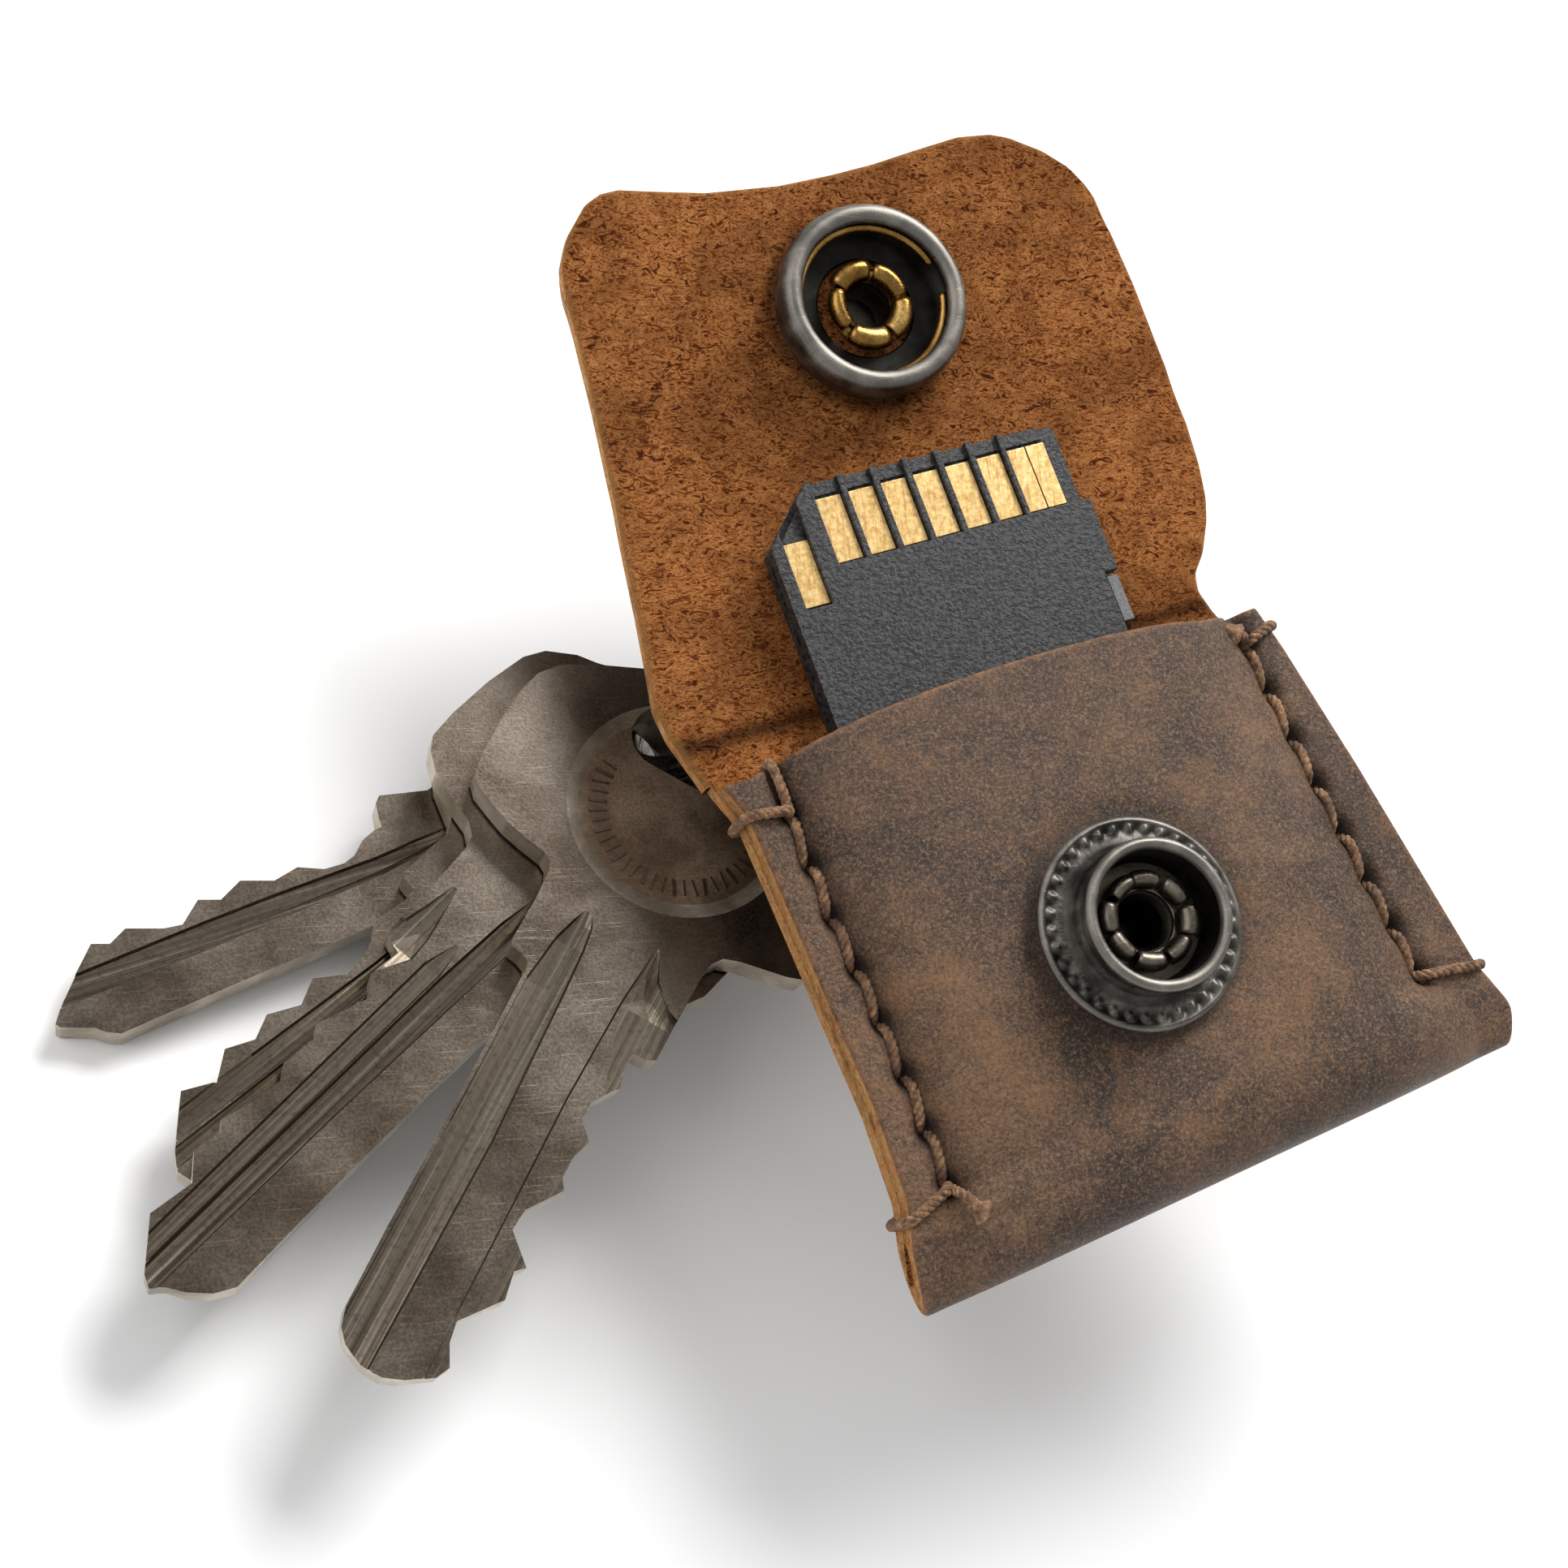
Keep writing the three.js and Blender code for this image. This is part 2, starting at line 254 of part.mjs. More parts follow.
// ---- stand the whole on its base --------------------------------------------------
const upK = new THREE.Vector3(LEAN[0], LEAN[1], 1).normalize().transformDirection(stack.matrix);
const fwd = new THREE.Vector3(0.325, 0.908, 0.263); fwd.addScaledVector(upK, -fwd.dot(upK)).normalize();
const side = new THREE.Vector3().crossVectors(fwd, upK);
const tilt = new THREE.Matrix4().makeBasis(side, fwd, upK).transpose();
const keyFob = new THREE.Group(); keyFob.add(pouch);
pouch.matrixAutoUpdate = false; pouch.matrix.copy(tilt);
keyFob.updateMatrixWorld(true);
const bb = new THREE.Box3(), v = new THREE.Vector3();
keyFob.traverse(o => { if (o.isMesh) { const p = o.geometry.attributes.position; for (let i = 0; i < p.count; i++) bb.expandByPoint(v.fromBufferAttribute(p, i).applyMatrix4(o.matrixWorld)); } });
keyFob.position.set(-(bb.min.x + bb.max.x) / 2, -(bb.min.y + bb.max.y) / 2, -bb.min.z);
keyFob.updateMatrixWorld(true);

export default keyFob;
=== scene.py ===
import bpy, bmesh, math
import numpy as np
from mathutils import Matrix, Vector
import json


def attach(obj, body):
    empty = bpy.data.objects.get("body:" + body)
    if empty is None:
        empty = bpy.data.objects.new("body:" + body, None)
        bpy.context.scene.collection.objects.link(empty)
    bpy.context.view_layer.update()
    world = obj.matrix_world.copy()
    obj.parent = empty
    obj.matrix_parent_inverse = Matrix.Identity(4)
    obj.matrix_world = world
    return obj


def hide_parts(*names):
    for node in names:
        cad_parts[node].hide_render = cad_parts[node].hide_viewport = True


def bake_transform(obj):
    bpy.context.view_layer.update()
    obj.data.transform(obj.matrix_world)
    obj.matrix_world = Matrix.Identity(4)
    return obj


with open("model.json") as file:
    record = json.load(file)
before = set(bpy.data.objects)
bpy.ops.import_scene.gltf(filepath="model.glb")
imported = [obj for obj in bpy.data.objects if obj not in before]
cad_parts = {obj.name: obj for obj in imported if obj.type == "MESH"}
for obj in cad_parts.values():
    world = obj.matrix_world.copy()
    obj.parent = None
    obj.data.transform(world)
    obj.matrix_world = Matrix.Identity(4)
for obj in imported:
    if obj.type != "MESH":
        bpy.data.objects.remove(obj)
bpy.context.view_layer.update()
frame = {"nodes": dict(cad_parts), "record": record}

# ------------------------------------------------------------------ frames
# P: the pouch's own frame in mm (x across, y towards the flap, z out of the front); K: the key stack's.
R = np.array([[0.9436348747050496, -0.2933580431851117, -0.15327844512189998],
              [0.261226549260791, 0.944459597933597, -0.19939096727888045],
              [0.2032582426414356, 0.14811187113027152, 0.9678579236791964]])
H1 = np.array([0, 17.9, -3.42])
JOINTS = {j["name"]: j for j in frame["record"]["behaviour"]["joints"]}
T = np.array(JOINTS["flap_close"]["pos_m"]) * 1000 - R @ H1
KO = np.array([-21.0, 5.0, -9.6])
KN = np.array([0.13, 0.13, 0.983]); KN /= np.linalg.norm(KN)
KX = np.array([1.0, 0, 0]) - KN * KN[0]; KX /= np.linalg.norm(KX)
KY = np.cross(KN, KX)
KM = np.stack([KX, KY, KN], 1)


def P2row(v):
    return (np.asarray(v, float) @ R.T + T) / 1000


def K2P(v):
    return np.asarray(v, float) @ KM.T + KO


# ------------------------------------------------------------------ mesh helpers
def build(name, V, F, mats, midx=None, smooth=True, attrs=None, space="P", body=None):
    V = np.asarray(V, float)
    if space == "K":
        V = K2P(V)
    V = P2row(V)
    me = bpy.data.meshes.new(name)
    me.from_pydata(V.tolist(), [], [list(map(int, f)) for f in F])
    me.validate()
    ob = bpy.data.objects.new(name, me)
    bpy.context.scene.collection.objects.link(ob)
    for m in (mats if isinstance(mats, (list, tuple)) else [mats]):
        me.materials.append(m)
    if midx is not None and len(midx) == len(me.polygons):
        me.polygons.foreach_set("material_index", np.asarray(midx, np.int32))
    if smooth:
        me.polygons.foreach_set("use_smooth", np.ones(len(me.polygons), bool))
    for k, v in (attrs or {}).items():
        a = me.attributes.new(k, "FLOAT", "POINT")
        a.data.foreach_set("value", np.asarray(v, np.float32))
    bm = bmesh.new(); bm.from_mesh(me)
    bmesh.ops.recalc_face_normals(bm, faces=bm.faces[:])
    bm.to_mesh(me); bm.free(); me.update()
    if body:
        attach(ob, body)
    return ob


def gridf(n, m, off=0, wrapm=False, wrapn=False):
    F = []
    for i in range(n if wrapn else n - 1):
        for j in range(m if wrapm else m - 1):
            a = off + i * m + j; b = off + i * m + (j + 1) % m
            c = off + ((i + 1) % n) * m + (j + 1) % m; d = off + ((i + 1) % n) * m + j
            F.append((a, b, c, d))
    return F


def join(parts):
    V, F, o = [], [], 0
    for v, f in parts:
        V.append(np.asarray(v, float)); F += [tuple(i + o for i in q) for q in f]; o += len(v)
    return np.concatenate(V), F


def lathe(prof, seg=96, closed=True, origin=(0, 0, 0), mod=None, a0=0.0, a1=2 * math.pi):
    prof = np.asarray(prof, float); n = len(prof); V = []
    full = abs(a1 - a0 - 2 * math.pi) < 1e-9
    m = seg if full else seg + 1
    for j in range(m):
        a = a0 + (a1 - a0) * j / seg
        for k, (r, z) in enumerate(prof):
            rr, zz = (r, z) if mod is None else mod(r, z, a, k)
            V.append((rr * math.cos(a) + origin[0], rr * math.sin(a) + origin[1], zz + origin[2]))
    F = gridf(m, n, 0, wrapm=closed, wrapn=full)
    if not full and closed:
        F.append(tuple(range(n))); F.append(tuple(reversed(range((m - 1) * n, m * n))))
    return np.array(V), F


def rounded(pts, r=0.15, n=3, closed=True):
    """corners of a profile turned into short arcs"""
    out = []; N = len(pts); pts = [np.array(p, float) for p in pts]
    for i in range(N):
        if not closed and i in (0, N - 1):
            out.append(pts[i]); continue
        a, b, c = pts[i - 1], pts[i], pts[(i + 1) % N]
        u, v = a - b, c - b; lu, lv = np.linalg.norm(u), np.linalg.norm(v)
        d = min(r, lu * 0.45, lv * 0.45); p, q = b + u / lu * d, b + v / lv * d
        for k in range(n + 1):
            t = k / n; out.append((1 - t) ** 2 * p + 2 * t * (1 - t) * b + t * t * q)
    return np.array(out)


def spline(pts, n=8, closed=False):
    pts = np.asarray(pts, float); N = len(pts); out = []
    for i in range(N if closed else N - 1):
        g = lambda k: pts[k % N] if closed else pts[min(max(k, 0), N - 1)]
        p0, p1, p2, p3 = g(i - 1), g(i), g(i + 1), g(i + 2)
        for k in range(n):
            t = k / n
            out.append(0.5 * (2 * p1 + (p2 - p0) * t + (2 * p0 - 5 * p1 + 4 * p2 - p3) * t * t + (3 * p1 - p0 - 3 * p2 + p3) * t ** 3))
    if not closed:
        out.append(pts[-1])
    return np.array(out)


def frames(pts):
    pts = np.asarray(pts, float); t = np.gradient(pts, axis=0); t /= np.linalg.norm(t, axis=1)[:, None] + 1e-12
    u = np.cross(t[0], [0.31, 0.27, 0.91]); u /= np.linalg.norm(u); U = []
    for k in range(len(pts)):
        u = u - t[k] * (u @ t[k]); u /= np.linalg.norm(u); U.append(u.copy())
    U = np.array(U); return t, U, np.cross(t, U)


def tube(pts, r, seg=8, caps=True):
    pts = np.asarray(pts, float); t, U, W = frames(pts); r = np.broadcast_to(r, len(pts)); V = []
    for k in range(len(pts)):
        for j in range(seg):
            a = 2 * math.pi * j / seg
            V.append(pts[k] + r[k] * (math.cos(a) * U[k] + math.sin(a) * W[k]))
    F = gridf(len(pts), seg, 0, wrapm=True)
    if caps:
        F.append(tuple(reversed(range(seg)))); F.append(tuple(range((len(pts) - 1) * seg, len(pts) * seg)))
    return np.array(V), F


def thread(ctrl, r=0.42, pitch=1.5, ply=3, phase=0.0, n=10):
    """laid thread: strands wound round a smooth centre line, drawn in at both ends"""
    c = spline(ctrl, n); t, U, W = frames(c)
    s = np.concatenate([[0], np.cumsum(np.linalg.norm(np.diff(c, axis=0), axis=1))]); parts = []
    for k in range(ply):
        a = 2 * math.pi * (s / pitch + k / ply) + phase
        parts.append(tube(c + 0.5 * r * (np.cos(a)[:, None] * U + np.sin(a)[:, None] * W), 0.56 * r, 7))
    return join(parts)


RNG = np.random.RandomState(7)


def wob(x, y, s, seed=0):
    """cheap smooth wobble of a position, about -1..1"""
    r = np.random.RandomState(seed); v = 0
    for k in range(5):
        a, b, ph = r.normal(size=2).tolist() + [r.uniform(0, 6.28)]
        v = v + np.sin((a * x + b * y) / s + ph)
    return v / 3.2


# ------------------------------------------------------------------ materials
def nodes(name):
    m = bpy.data.materials.new(name); m.use_nodes = True; nt = m.node_tree; nt.nodes.clear()
    out = nt.nodes.new("ShaderNodeOutputMaterial"); b = nt.nodes.new("ShaderNodeBsdfPrincipled")
    nt.links.new(b.outputs[0], out.inputs[0]); return m, nt, b


class G:
    """short names for node graph pieces; coordinates are millimetres of the resting object"""
    def __init__(self, nt):
        self.nt = nt; tc = nt.nodes.new("ShaderNodeTexCoord"); self.co = self.vm("SCALE", tc.outputs["Object"], 1000.0)
    def vm(self, op, a, s):
        n = self.nt.nodes.new("ShaderNodeVectorMath"); n.operation = op; self.nt.links.new(a, n.inputs[0])
        if op == "SCALE": n.inputs["Scale"].default_value = s
        else: n.inputs[1].default_value = s
        return n.outputs[0]
    def put(self, sock, v):
        if hasattr(v, "links") or isinstance(v, bpy.types.NodeSocket): self.nt.links.new(v, sock)
        else: sock.default_value = v
    def noise(self, scale, detail=4.0, rough=0.55, dist=0.0, co=None):
        n = self.nt.nodes.new("ShaderNodeTexNoise"); self.nt.links.new(co or self.co, n.inputs["Vector"])
        n.inputs["Scale"].default_value = scale; n.inputs["Detail"].default_value = detail
        n.inputs["Roughness"].default_value = rough; n.inputs["Distortion"].default_value = dist
        return n.outputs["Fac"]
    def voro(self, scale, feature="F1", rnd=1.0, co=None):
        n = self.nt.nodes.new("ShaderNodeTexVoronoi"); n.feature = feature
        self.nt.links.new(co or self.co, n.inputs["Vector"]); n.inputs["Scale"].default_value = scale; n.inputs["Randomness"].default_value = rnd
        return n.outputs["Distance"]
    def ramp(self, f, stops, mode="LINEAR"):
        n = self.nt.nodes.new("ShaderNodeValToRGB"); n.color_ramp.interpolation = mode; self.nt.links.new(f, n.inputs[0])
        e = n.color_ramp.elements
        while len(e) < len(stops): e.new(0.5)
        for k, (p, c) in enumerate(stops):
            e[k].position = p; e[k].color = (*c, 1) if not np.isscalar(c) else (c, c, c, 1)
        return n.outputs[0]
    def mix(self, f, a, b, mode="MIX"):
        n = self.nt.nodes.new("ShaderNodeMix"); n.data_type = "RGBA"; n.blend_type = mode
        self.put(n.inputs[0], f)
        for s, v in ((n.inputs[6], a), (n.inputs[7], b)):
            if isinstance(v, tuple): s.default_value = (*v, 1)
            else: self.nt.links.new(v, s)
        return n.outputs[2]
    def math(self, op, a, b=0.0, clamp=False):
        n = self.nt.nodes.new("ShaderNodeMath"); n.operation = op; n.use_clamp = clamp
        self.put(n.inputs[0], a); self.put(n.inputs[1], b); return n.outputs[0]
    def attr(self, name):
        n = self.nt.nodes.new("ShaderNodeAttribute"); n.attribute_name = name; return n.outputs["Fac"]
    def bump(self, h, strength, dist, prev=None):
        n = self.nt.nodes.new("ShaderNodeBump"); n.inputs["Strength"].default_value = strength; n.inputs["Distance"].default_value = dist / 1000
        self.nt.links.new(h, n.inputs["Height"])
        if prev is not None: self.nt.links.new(prev, n.inputs["Normal"])
        return n.outputs[0]
    def map(self, rot=(0, 0, 0), scale=(1, 1, 1)):
        n = self.nt.nodes.new("ShaderNodeMapping"); self.nt.links.new(self.co, n.inputs["Vector"])
        n.inputs["Rotation"].default_value = rot; n.inputs["Scale"].default_value = scale; return n.outputs[0]


def srgb(r, g, b):
    f = lambda c: (c / 255 / 12.92) if c <= 10 else ((c / 255 + 0.055) / 1.055) ** 2.4
    return (f(r), f(g), f(b))


def leather_mat():
    m, nt, b = nodes("leather_outer"); g = G(nt)
    big = g.noise(0.065, 4, 0.55, 0.5); mid = g.noise(0.33, 5, 0.62, 0.4); grain = g.noise(4.2, 5, 0.75, 0.3); grain2 = g.noise(7.5, 3, 0.6)
    streak = g.noise(2.4, 5, 0.7, 0.4, g.map((0, 0, -0.27), (1.0, 0.3, 1.0)))
    t = g.mix(0.6, mid, big)
    c = g.ramp(t, [(0.38, srgb(44, 35, 31)), (0.46, srgb(68, 52, 42)), (0.54, srgb(94, 71, 54)), (0.64, srgb(122, 92, 66))])
    c = g.mix(g.ramp(grain, [(0.5, 0.0), (0.64, 0.55)]), c, srgb(160, 124, 92))
    c = g.mix(g.ramp(grain, [(0.36, 0.7), (0.49, 0.0)]), c, srgb(32, 23, 19))
    c = g.mix(g.ramp(grain2, [(0.56, 0.0), (0.7, 0.4)]), c, srgb(176, 138, 104))
    c = g.mix(g.ramp(streak, [(0.54, 0.0), (0.7, 0.28)]), c, srgb(140, 98, 64))
    c = g.mix(g.ramp(g.noise(0.13, 5, 0.7, 0.8), [(0.55, 0.0), (0.72, 0.4)]), c, srgb(150, 106, 68))
    c = g.mix(g.math("MULTIPLY", g.attr("wear"), g.ramp(g.noise(1.1, 5, 0.7), [(0.4, 0.0), (0.66, 0.75)]), True), c, srgb(168, 116, 72))
    # painted shade: near black where the 'dark' attribute is set, in the seam valley, the stitch holes and the groove
    # round the snap
    c = g.mix(g.math("MULTIPLY", g.attr("dark"), 0.9, True), c, srgb(20, 13, 10))
    nt.links.new(c, b.inputs["Base Color"])
    nt.links.new(g.ramp(g.mix(0.5, grain, mid), [(0.36, 0.34), (0.62, 0.56)]), b.inputs["Roughness"])
    n1 = g.bump(mid, 0.45, 0.45)
    n3 = g.bump(grain, 0.9, 0.13, n1)
    nt.links.new(g.bump(streak, 0.25, 0.08, n3), b.inputs["Normal"])
    b.inputs["Specular IOR Level"].default_value = 0.36
    return m


def suede_mat():
    m, nt, b = nodes("suede_inner"); g = G(nt)
    co = g.map((0, 0, 0.45), (0.8, 1.5, 1.0))
    f1 = g.noise(1.3, 5, 0.62, 1.6, co); f2 = g.noise(3.4, 5, 0.7, 1.4, co); big = g.noise(0.085, 4, 0.6); pt = g.noise(0.32, 4, 0.6, 0.5)
    ridge = g.math("SUBTRACT", 1.0, g.math("MULTIPLY", g.math("ABSOLUTE", g.math("SUBTRACT", f1, 0.5)), 7.0), True)
    h = g.mix(0.4, g.mix(0.5, f1, ridge), f2)
    c = g.ramp(h, [(0.32, srgb(84, 40, 17)), (0.43, srgb(146, 80, 38)), (0.53, srgb(198, 118, 62)), (0.63, srgb(234, 158, 92)), (0.76, srgb(246, 190, 128))])
    c = g.mix(g.ramp(f2, [(0.36, 0.3), (0.48, 0.0)]), c, srgb(96, 46, 18))
    c = g.mix(g.ramp(pt, [(0.4, 0.35), (0.58, 0.0)]), c, srgb(98, 52, 22))
    c = g.mix(g.ramp(big, [(0.36, 0.25), (0.58, 0.0)]), c, srgb(90, 50, 22))
    # painted shadow: darkens where the 'dark' attribute is set, along the flap's crease and in a ring round the socket
    c = g.mix(g.math("MULTIPLY", g.attr("dark"), 0.95, True), c, srgb(18, 9, 4))
    c = g.mix(g.math("MULTIPLY", g.attr("wear"), 0.6, True), c, srgb(226, 164, 100))
    nt.links.new(c, b.inputs["Base Color"])
    b.inputs["Roughness"].default_value = 0.95
    b.inputs["Specular IOR Level"].default_value = 0.08
    n1 = g.bump(h, 1.0, 1.3)
    nt.links.new(g.bump(g.noise(6.5, 4, 0.7, 0.8), 0.8, 0.2, n1), b.inputs["Normal"])
    return m


def raw_mat():
    m, nt, b = nodes("raw_edge"); g = G(nt)
    f = g.noise(1.7, 7, 0.78, 1.0); f2 = g.noise(5.5, 5, 0.7, 0.5)
    c = g.ramp(g.mix(0.4, f, f2), [(0.36, srgb(150, 82, 38)), (0.44, srgb(240, 152, 84)), (0.54, srgb(255, 198, 128)), (0.66, srgb(255, 230, 180))])
    c = g.mix(g.ramp(g.noise(0.42, 4, 0.6), [(0.52, 0.0), (0.68, 0.6)]), c, srgb(120, 76, 44))
    nt.links.new(c, b.inputs["Base Color"]); b.inputs["Roughness"].default_value = 0.85
    b.inputs["Specular IOR Level"].default_value = 0.2
    nt.links.new(g.bump(f2, 1.0, 0.3, g.bump(f, 1.0, 0.5)), b.inputs["Normal"]); return m


def thread_mat():
    m, nt, b = nodes("thread"); g = G(nt)
    c = g.ramp(g.noise(2.0, 5, 0.7), [(0.34, srgb(78, 52, 33)), (0.5, srgb(138, 99, 66)), (0.66, srgb(190, 150, 110))])
    c = g.mix(g.ramp(g.noise(0.4, 3, 0.5), [(0.45, 0.0), (0.65, 0.6)]), c, srgb(74, 50, 34))
    # painted shade: darkens where the 'dark' attribute is set; the stitches carry zeros
    c = g.mix(g.math("MULTIPLY", g.attr("dark"), 0.8, True), c, srgb(40, 27, 18))
    nt.links.new(c, b.inputs["Base Color"]); b.inputs["Roughness"].default_value = 0.72
    nt.links.new(g.bump(g.noise(9, 4, 0.7, 0.8), 0.9, 0.1), b.inputs["Normal"]); b.inputs["Sheen Weight"].default_value = 0.1
    return m


def metal_mat(name, dark, mid, light, rough=(0.25, 0.5), metallic=1.0, scale=1.0, scratch=0.4, stain=0.5, spec=0.5, grainy=0.35, brush=None):
    m, nt, b = nodes(name); g = G(nt)
    n = g.noise(0.22 * scale, 4, 0.55, 0.3); f = g.noise(5.0 * scale, 5, 0.7)
    c = g.ramp(n, [(0.34, dark), (0.5, mid), (0.66, light)])
    c = g.mix(g.ramp(f, [(0.42, grainy), (0.6, 0.0)]), c, tuple(x * 0.4 for x in dark))
    c = g.mix(g.ramp(g.noise(0.75 * scale, 6, 0.75, 0.4), [(0.6, 0.0), (0.7, stain)]), c, tuple(x * 0.3 for x in dark))
    s1 = g.noise(2.0, 2, 0.5, 0, g.map((0, 0, 0.6), (0.10, 3.0, 1.0))); s2 = g.noise(2.4, 2, 0.5, 0, g.map((0.3, 0, 2.2), (0.09, 3.4, 1.0)))
    sc = g.math("MAXIMUM", g.ramp(s1, [(0.66, 0.0), (0.72, 1.0)]), g.ramp(s2, [(0.67, 0.0), (0.73, 1.0)]))
    c = g.mix(g.math("MULTIPLY", sc, scratch, True), c, tuple(min(1, x * 1.5) for x in light))
    # painted shade: a near black copy of the dark tone where the 'dark' attribute is set, in the hollows of the snap
    # parts
    c = g.mix(g.math("MULTIPLY", g.attr("dark"), 0.93, True), c, tuple(x * 0.12 for x in dark))
    c = g.mix(g.math("MULTIPLY", g.attr("wear"), g.ramp(f, [(0.3, 0.6), (0.6, 1.0)]), True), c, tuple(min(1, x * 1.6) for x in light))
    nt.links.new(c, b.inputs["Base Color"]); b.inputs["Metallic"].default_value = metallic
    nt.links.new(g.ramp(g.mix(0.5, n, f), [(0.38, rough[0]), (0.62, rough[1])]), b.inputs["Roughness"])
    nrm = g.bump(sc, 0.15, 0.03, g.bump(f, 0.25, 0.05))
    nt.links.new(nrm, b.inputs["Normal"])
    b.inputs["Specular IOR Level"].default_value = spec
    return m


def groove_mat():
    """milled floor of a key's profile: fine lines along each blade, carried by the 'line' attribute in millimetres"""
    m, nt, b = nodes("key_groove"); g = G(nt)
    cx = nt.nodes.new("ShaderNodeCombineXYZ"); nt.links.new(g.attr("line"), cx.inputs[0]); nt.links.new(g.math("MULTIPLY", g.attr("along"), 0.01), cx.inputs[1])
    ln = g.noise(3.2, 4, 0.6, 0, cx.outputs[0]); f = g.noise(2.4, 5, 0.7)
    c = g.ramp(ln, [(0.32, srgb(74, 66, 56)), (0.46, srgb(104, 94, 82)), (0.6, srgb(136, 126, 111)), (0.72, srgb(212, 202, 186))])
    c = g.mix(g.ramp(f, [(0.5, 0.0), (0.66, 0.45)]), c, srgb(50, 45, 40))
    nt.links.new(c, b.inputs["Base Color"]); b.inputs["Metallic"].default_value = 0.95
    nt.links.new(g.ramp(ln, [(0.35, 0.38), (0.65, 0.2)]), b.inputs["Roughness"])
    nt.links.new(g.bump(ln, 0.5, 0.05), b.inputs["Normal"]); return m


def plastic_mat(name, a, bcol, rough, bump=0.5, scale=6.0):
    m, nt, b = nodes(name); g = G(nt)
    f = g.noise(scale, 4, 0.65)
    c = g.ramp(f, [(0.43, a), (0.57, bcol)])
    nt.links.new(c, b.inputs["Base Color"]); b.inputs["Roughness"].default_value = rough; b.inputs["Specular IOR Level"].default_value = 0.38
    nt.links.new(g.bump(f, bump, 0.12), b.inputs["Normal"]); return m


def gold_mat():
    m, nt, b = nodes("contact_gold"); g = G(nt)
    rub = g.noise(0.9, 4, 0.6, 0.2, g.map((0, 0, 0.27), (4.5, 0.3, 1.0))); f = g.noise(2.6, 5, 0.7)
    c = g.ramp(f, [(0.3, srgb(190, 142, 74)), (0.55, srgb(240, 204, 136)), (0.75, srgb(252, 232, 180))])
    c = g.mix(g.ramp(rub, [(0.54, 0.0), (0.63, 0.6)]), c, srgb(150, 108, 60))
    nt.links.new(c, b.inputs["Base Color"]); b.inputs["Metallic"].default_value = 0.6
    nt.links.new(g.ramp(rub, [(0.4, 0.3), (0.7, 0.5)]), b.inputs["Roughness"])
    nt.links.new(g.bump(rub, 0.25, 0.04), b.inputs["Normal"]); return m


LEATHER, SUEDE, RAW, THREAD = leather_mat(), suede_mat(), raw_mat(), thread_mat()
GUN = metal_mat("snap_gunmetal", srgb(74, 71, 67), srgb(108, 104, 98), srgb(146, 141, 133), (0.36, 0.56), scratch=0.25, scale=2.2)
GUND = metal_mat("snap_dark", srgb(92, 85, 76), srgb(120, 112, 100), srgb(156, 147, 134), (0.26, 0.45), scratch=0.15)
BRASS = metal_mat("snap_brass", srgb(120, 88, 42), srgb(178, 138, 74), srgb(214, 176, 108), (0.2, 0.4), scratch=0.2)
# key metal's own grey-brown, darkened further as a painted dark reflection of the surroundings
KEYTOP = metal_mat("key_face", srgb(96, 85, 74), srgb(110, 99, 88), srgb(122, 112, 101), (0.25, 0.38), 0.95, scratch=0.3, stain=0.45, grainy=0.4)
# painted highlight: a much lighter copy of the key metal for side faces and bevels, standing in for the bright edge
# reflections
KEY_EDGE_HIGHLIGHT = metal_mat("key_edge", srgb(158, 145, 126), srgb(196, 184, 165), srgb(226, 217, 202), (0.28, 0.45), 0.85, scratch=0.2, stain=0.3, grainy=0.2)
# painted light: lighter and less metallic than the faces, to offset the pouch's shadow on key a's recessed disc
KEYDISC = metal_mat("key_disc", srgb(112, 92, 72), srgb(138, 116, 94), srgb(164, 142, 118), (0.34, 0.5), 0.75, scratch=0.2, stain=0.4, grainy=0.4)
KEYGRV = groove_mat()
STEEL = metal_mat("ring_steel", srgb(110, 104, 96), srgb(150, 144, 134), srgb(190, 184, 174), (0.2, 0.4), 1.0)
CARD = plastic_mat("card_shell", srgb(6, 6, 7), srgb(56, 55, 55), 0.4, 1.0, 3.2)
BOARD = plastic_mat("card_board", srgb(16, 30, 22), srgb(26, 48, 34), 0.5, 0.3)
GREY = plastic_mat("slider_grey", srgb(92, 92, 94), srgb(120, 120, 122), 0.5, 0.3)
GOLD = gold_mat()

# ------------------------------------------------------------------ pouch shape (mm, frame P)
TH, BACK, BULGE = 1.95, -4.4, 3.5
LEFT = [(-20.0, -22.7), (-18, -22.5), (-15.5, -22.1), (-13, -21.3), (-7, -20.9), (0, -21.0), (13.7, -21.1), (16.3, -22.0), (19.5, -22.7)]
RIGHT = [(-20.0, 24.6), (-17.5, 25.2), (-14, 23.9), (2, 22.1), (12, 20.7), (17, 19.7), (19.5, 19.2)]
SEAM_Y = 13.0


def smooth_table(t, k=9, n=400):
    y = np.linspace(t[0][0] - 3, t[-1][0] + 3, n); x = np.interp(y, [p[0] for p in t], [p[1] for p in t])
    w = np.hanning(2 * k + 1); w /= w.sum(); xs = np.convolve(np.pad(x, k, mode="edge"), w, "valid")
    return lambda q: np.interp(q, y, xs)


XL, XR = smooth_table(LEFT), smooth_table(RIGHT)
seam_half = lambda y: 19.0 + (18.35 - 19.0) * (y + SEAM_Y) / (2 * SEAM_Y)
SEAM_L = smooth_table([(-20, -18.4), (-13, -18.35), (-6, -18.15), (0, -18.2), (6, -18.45), (13, -18.3), (18, -18.1)])
SEAM_R = smooth_table([(-20, 19.5), (-13, 19.35), (-6, 18.9), (0, 18.6), (6, 18.3), (13, 18.1), (18, 17.9)])


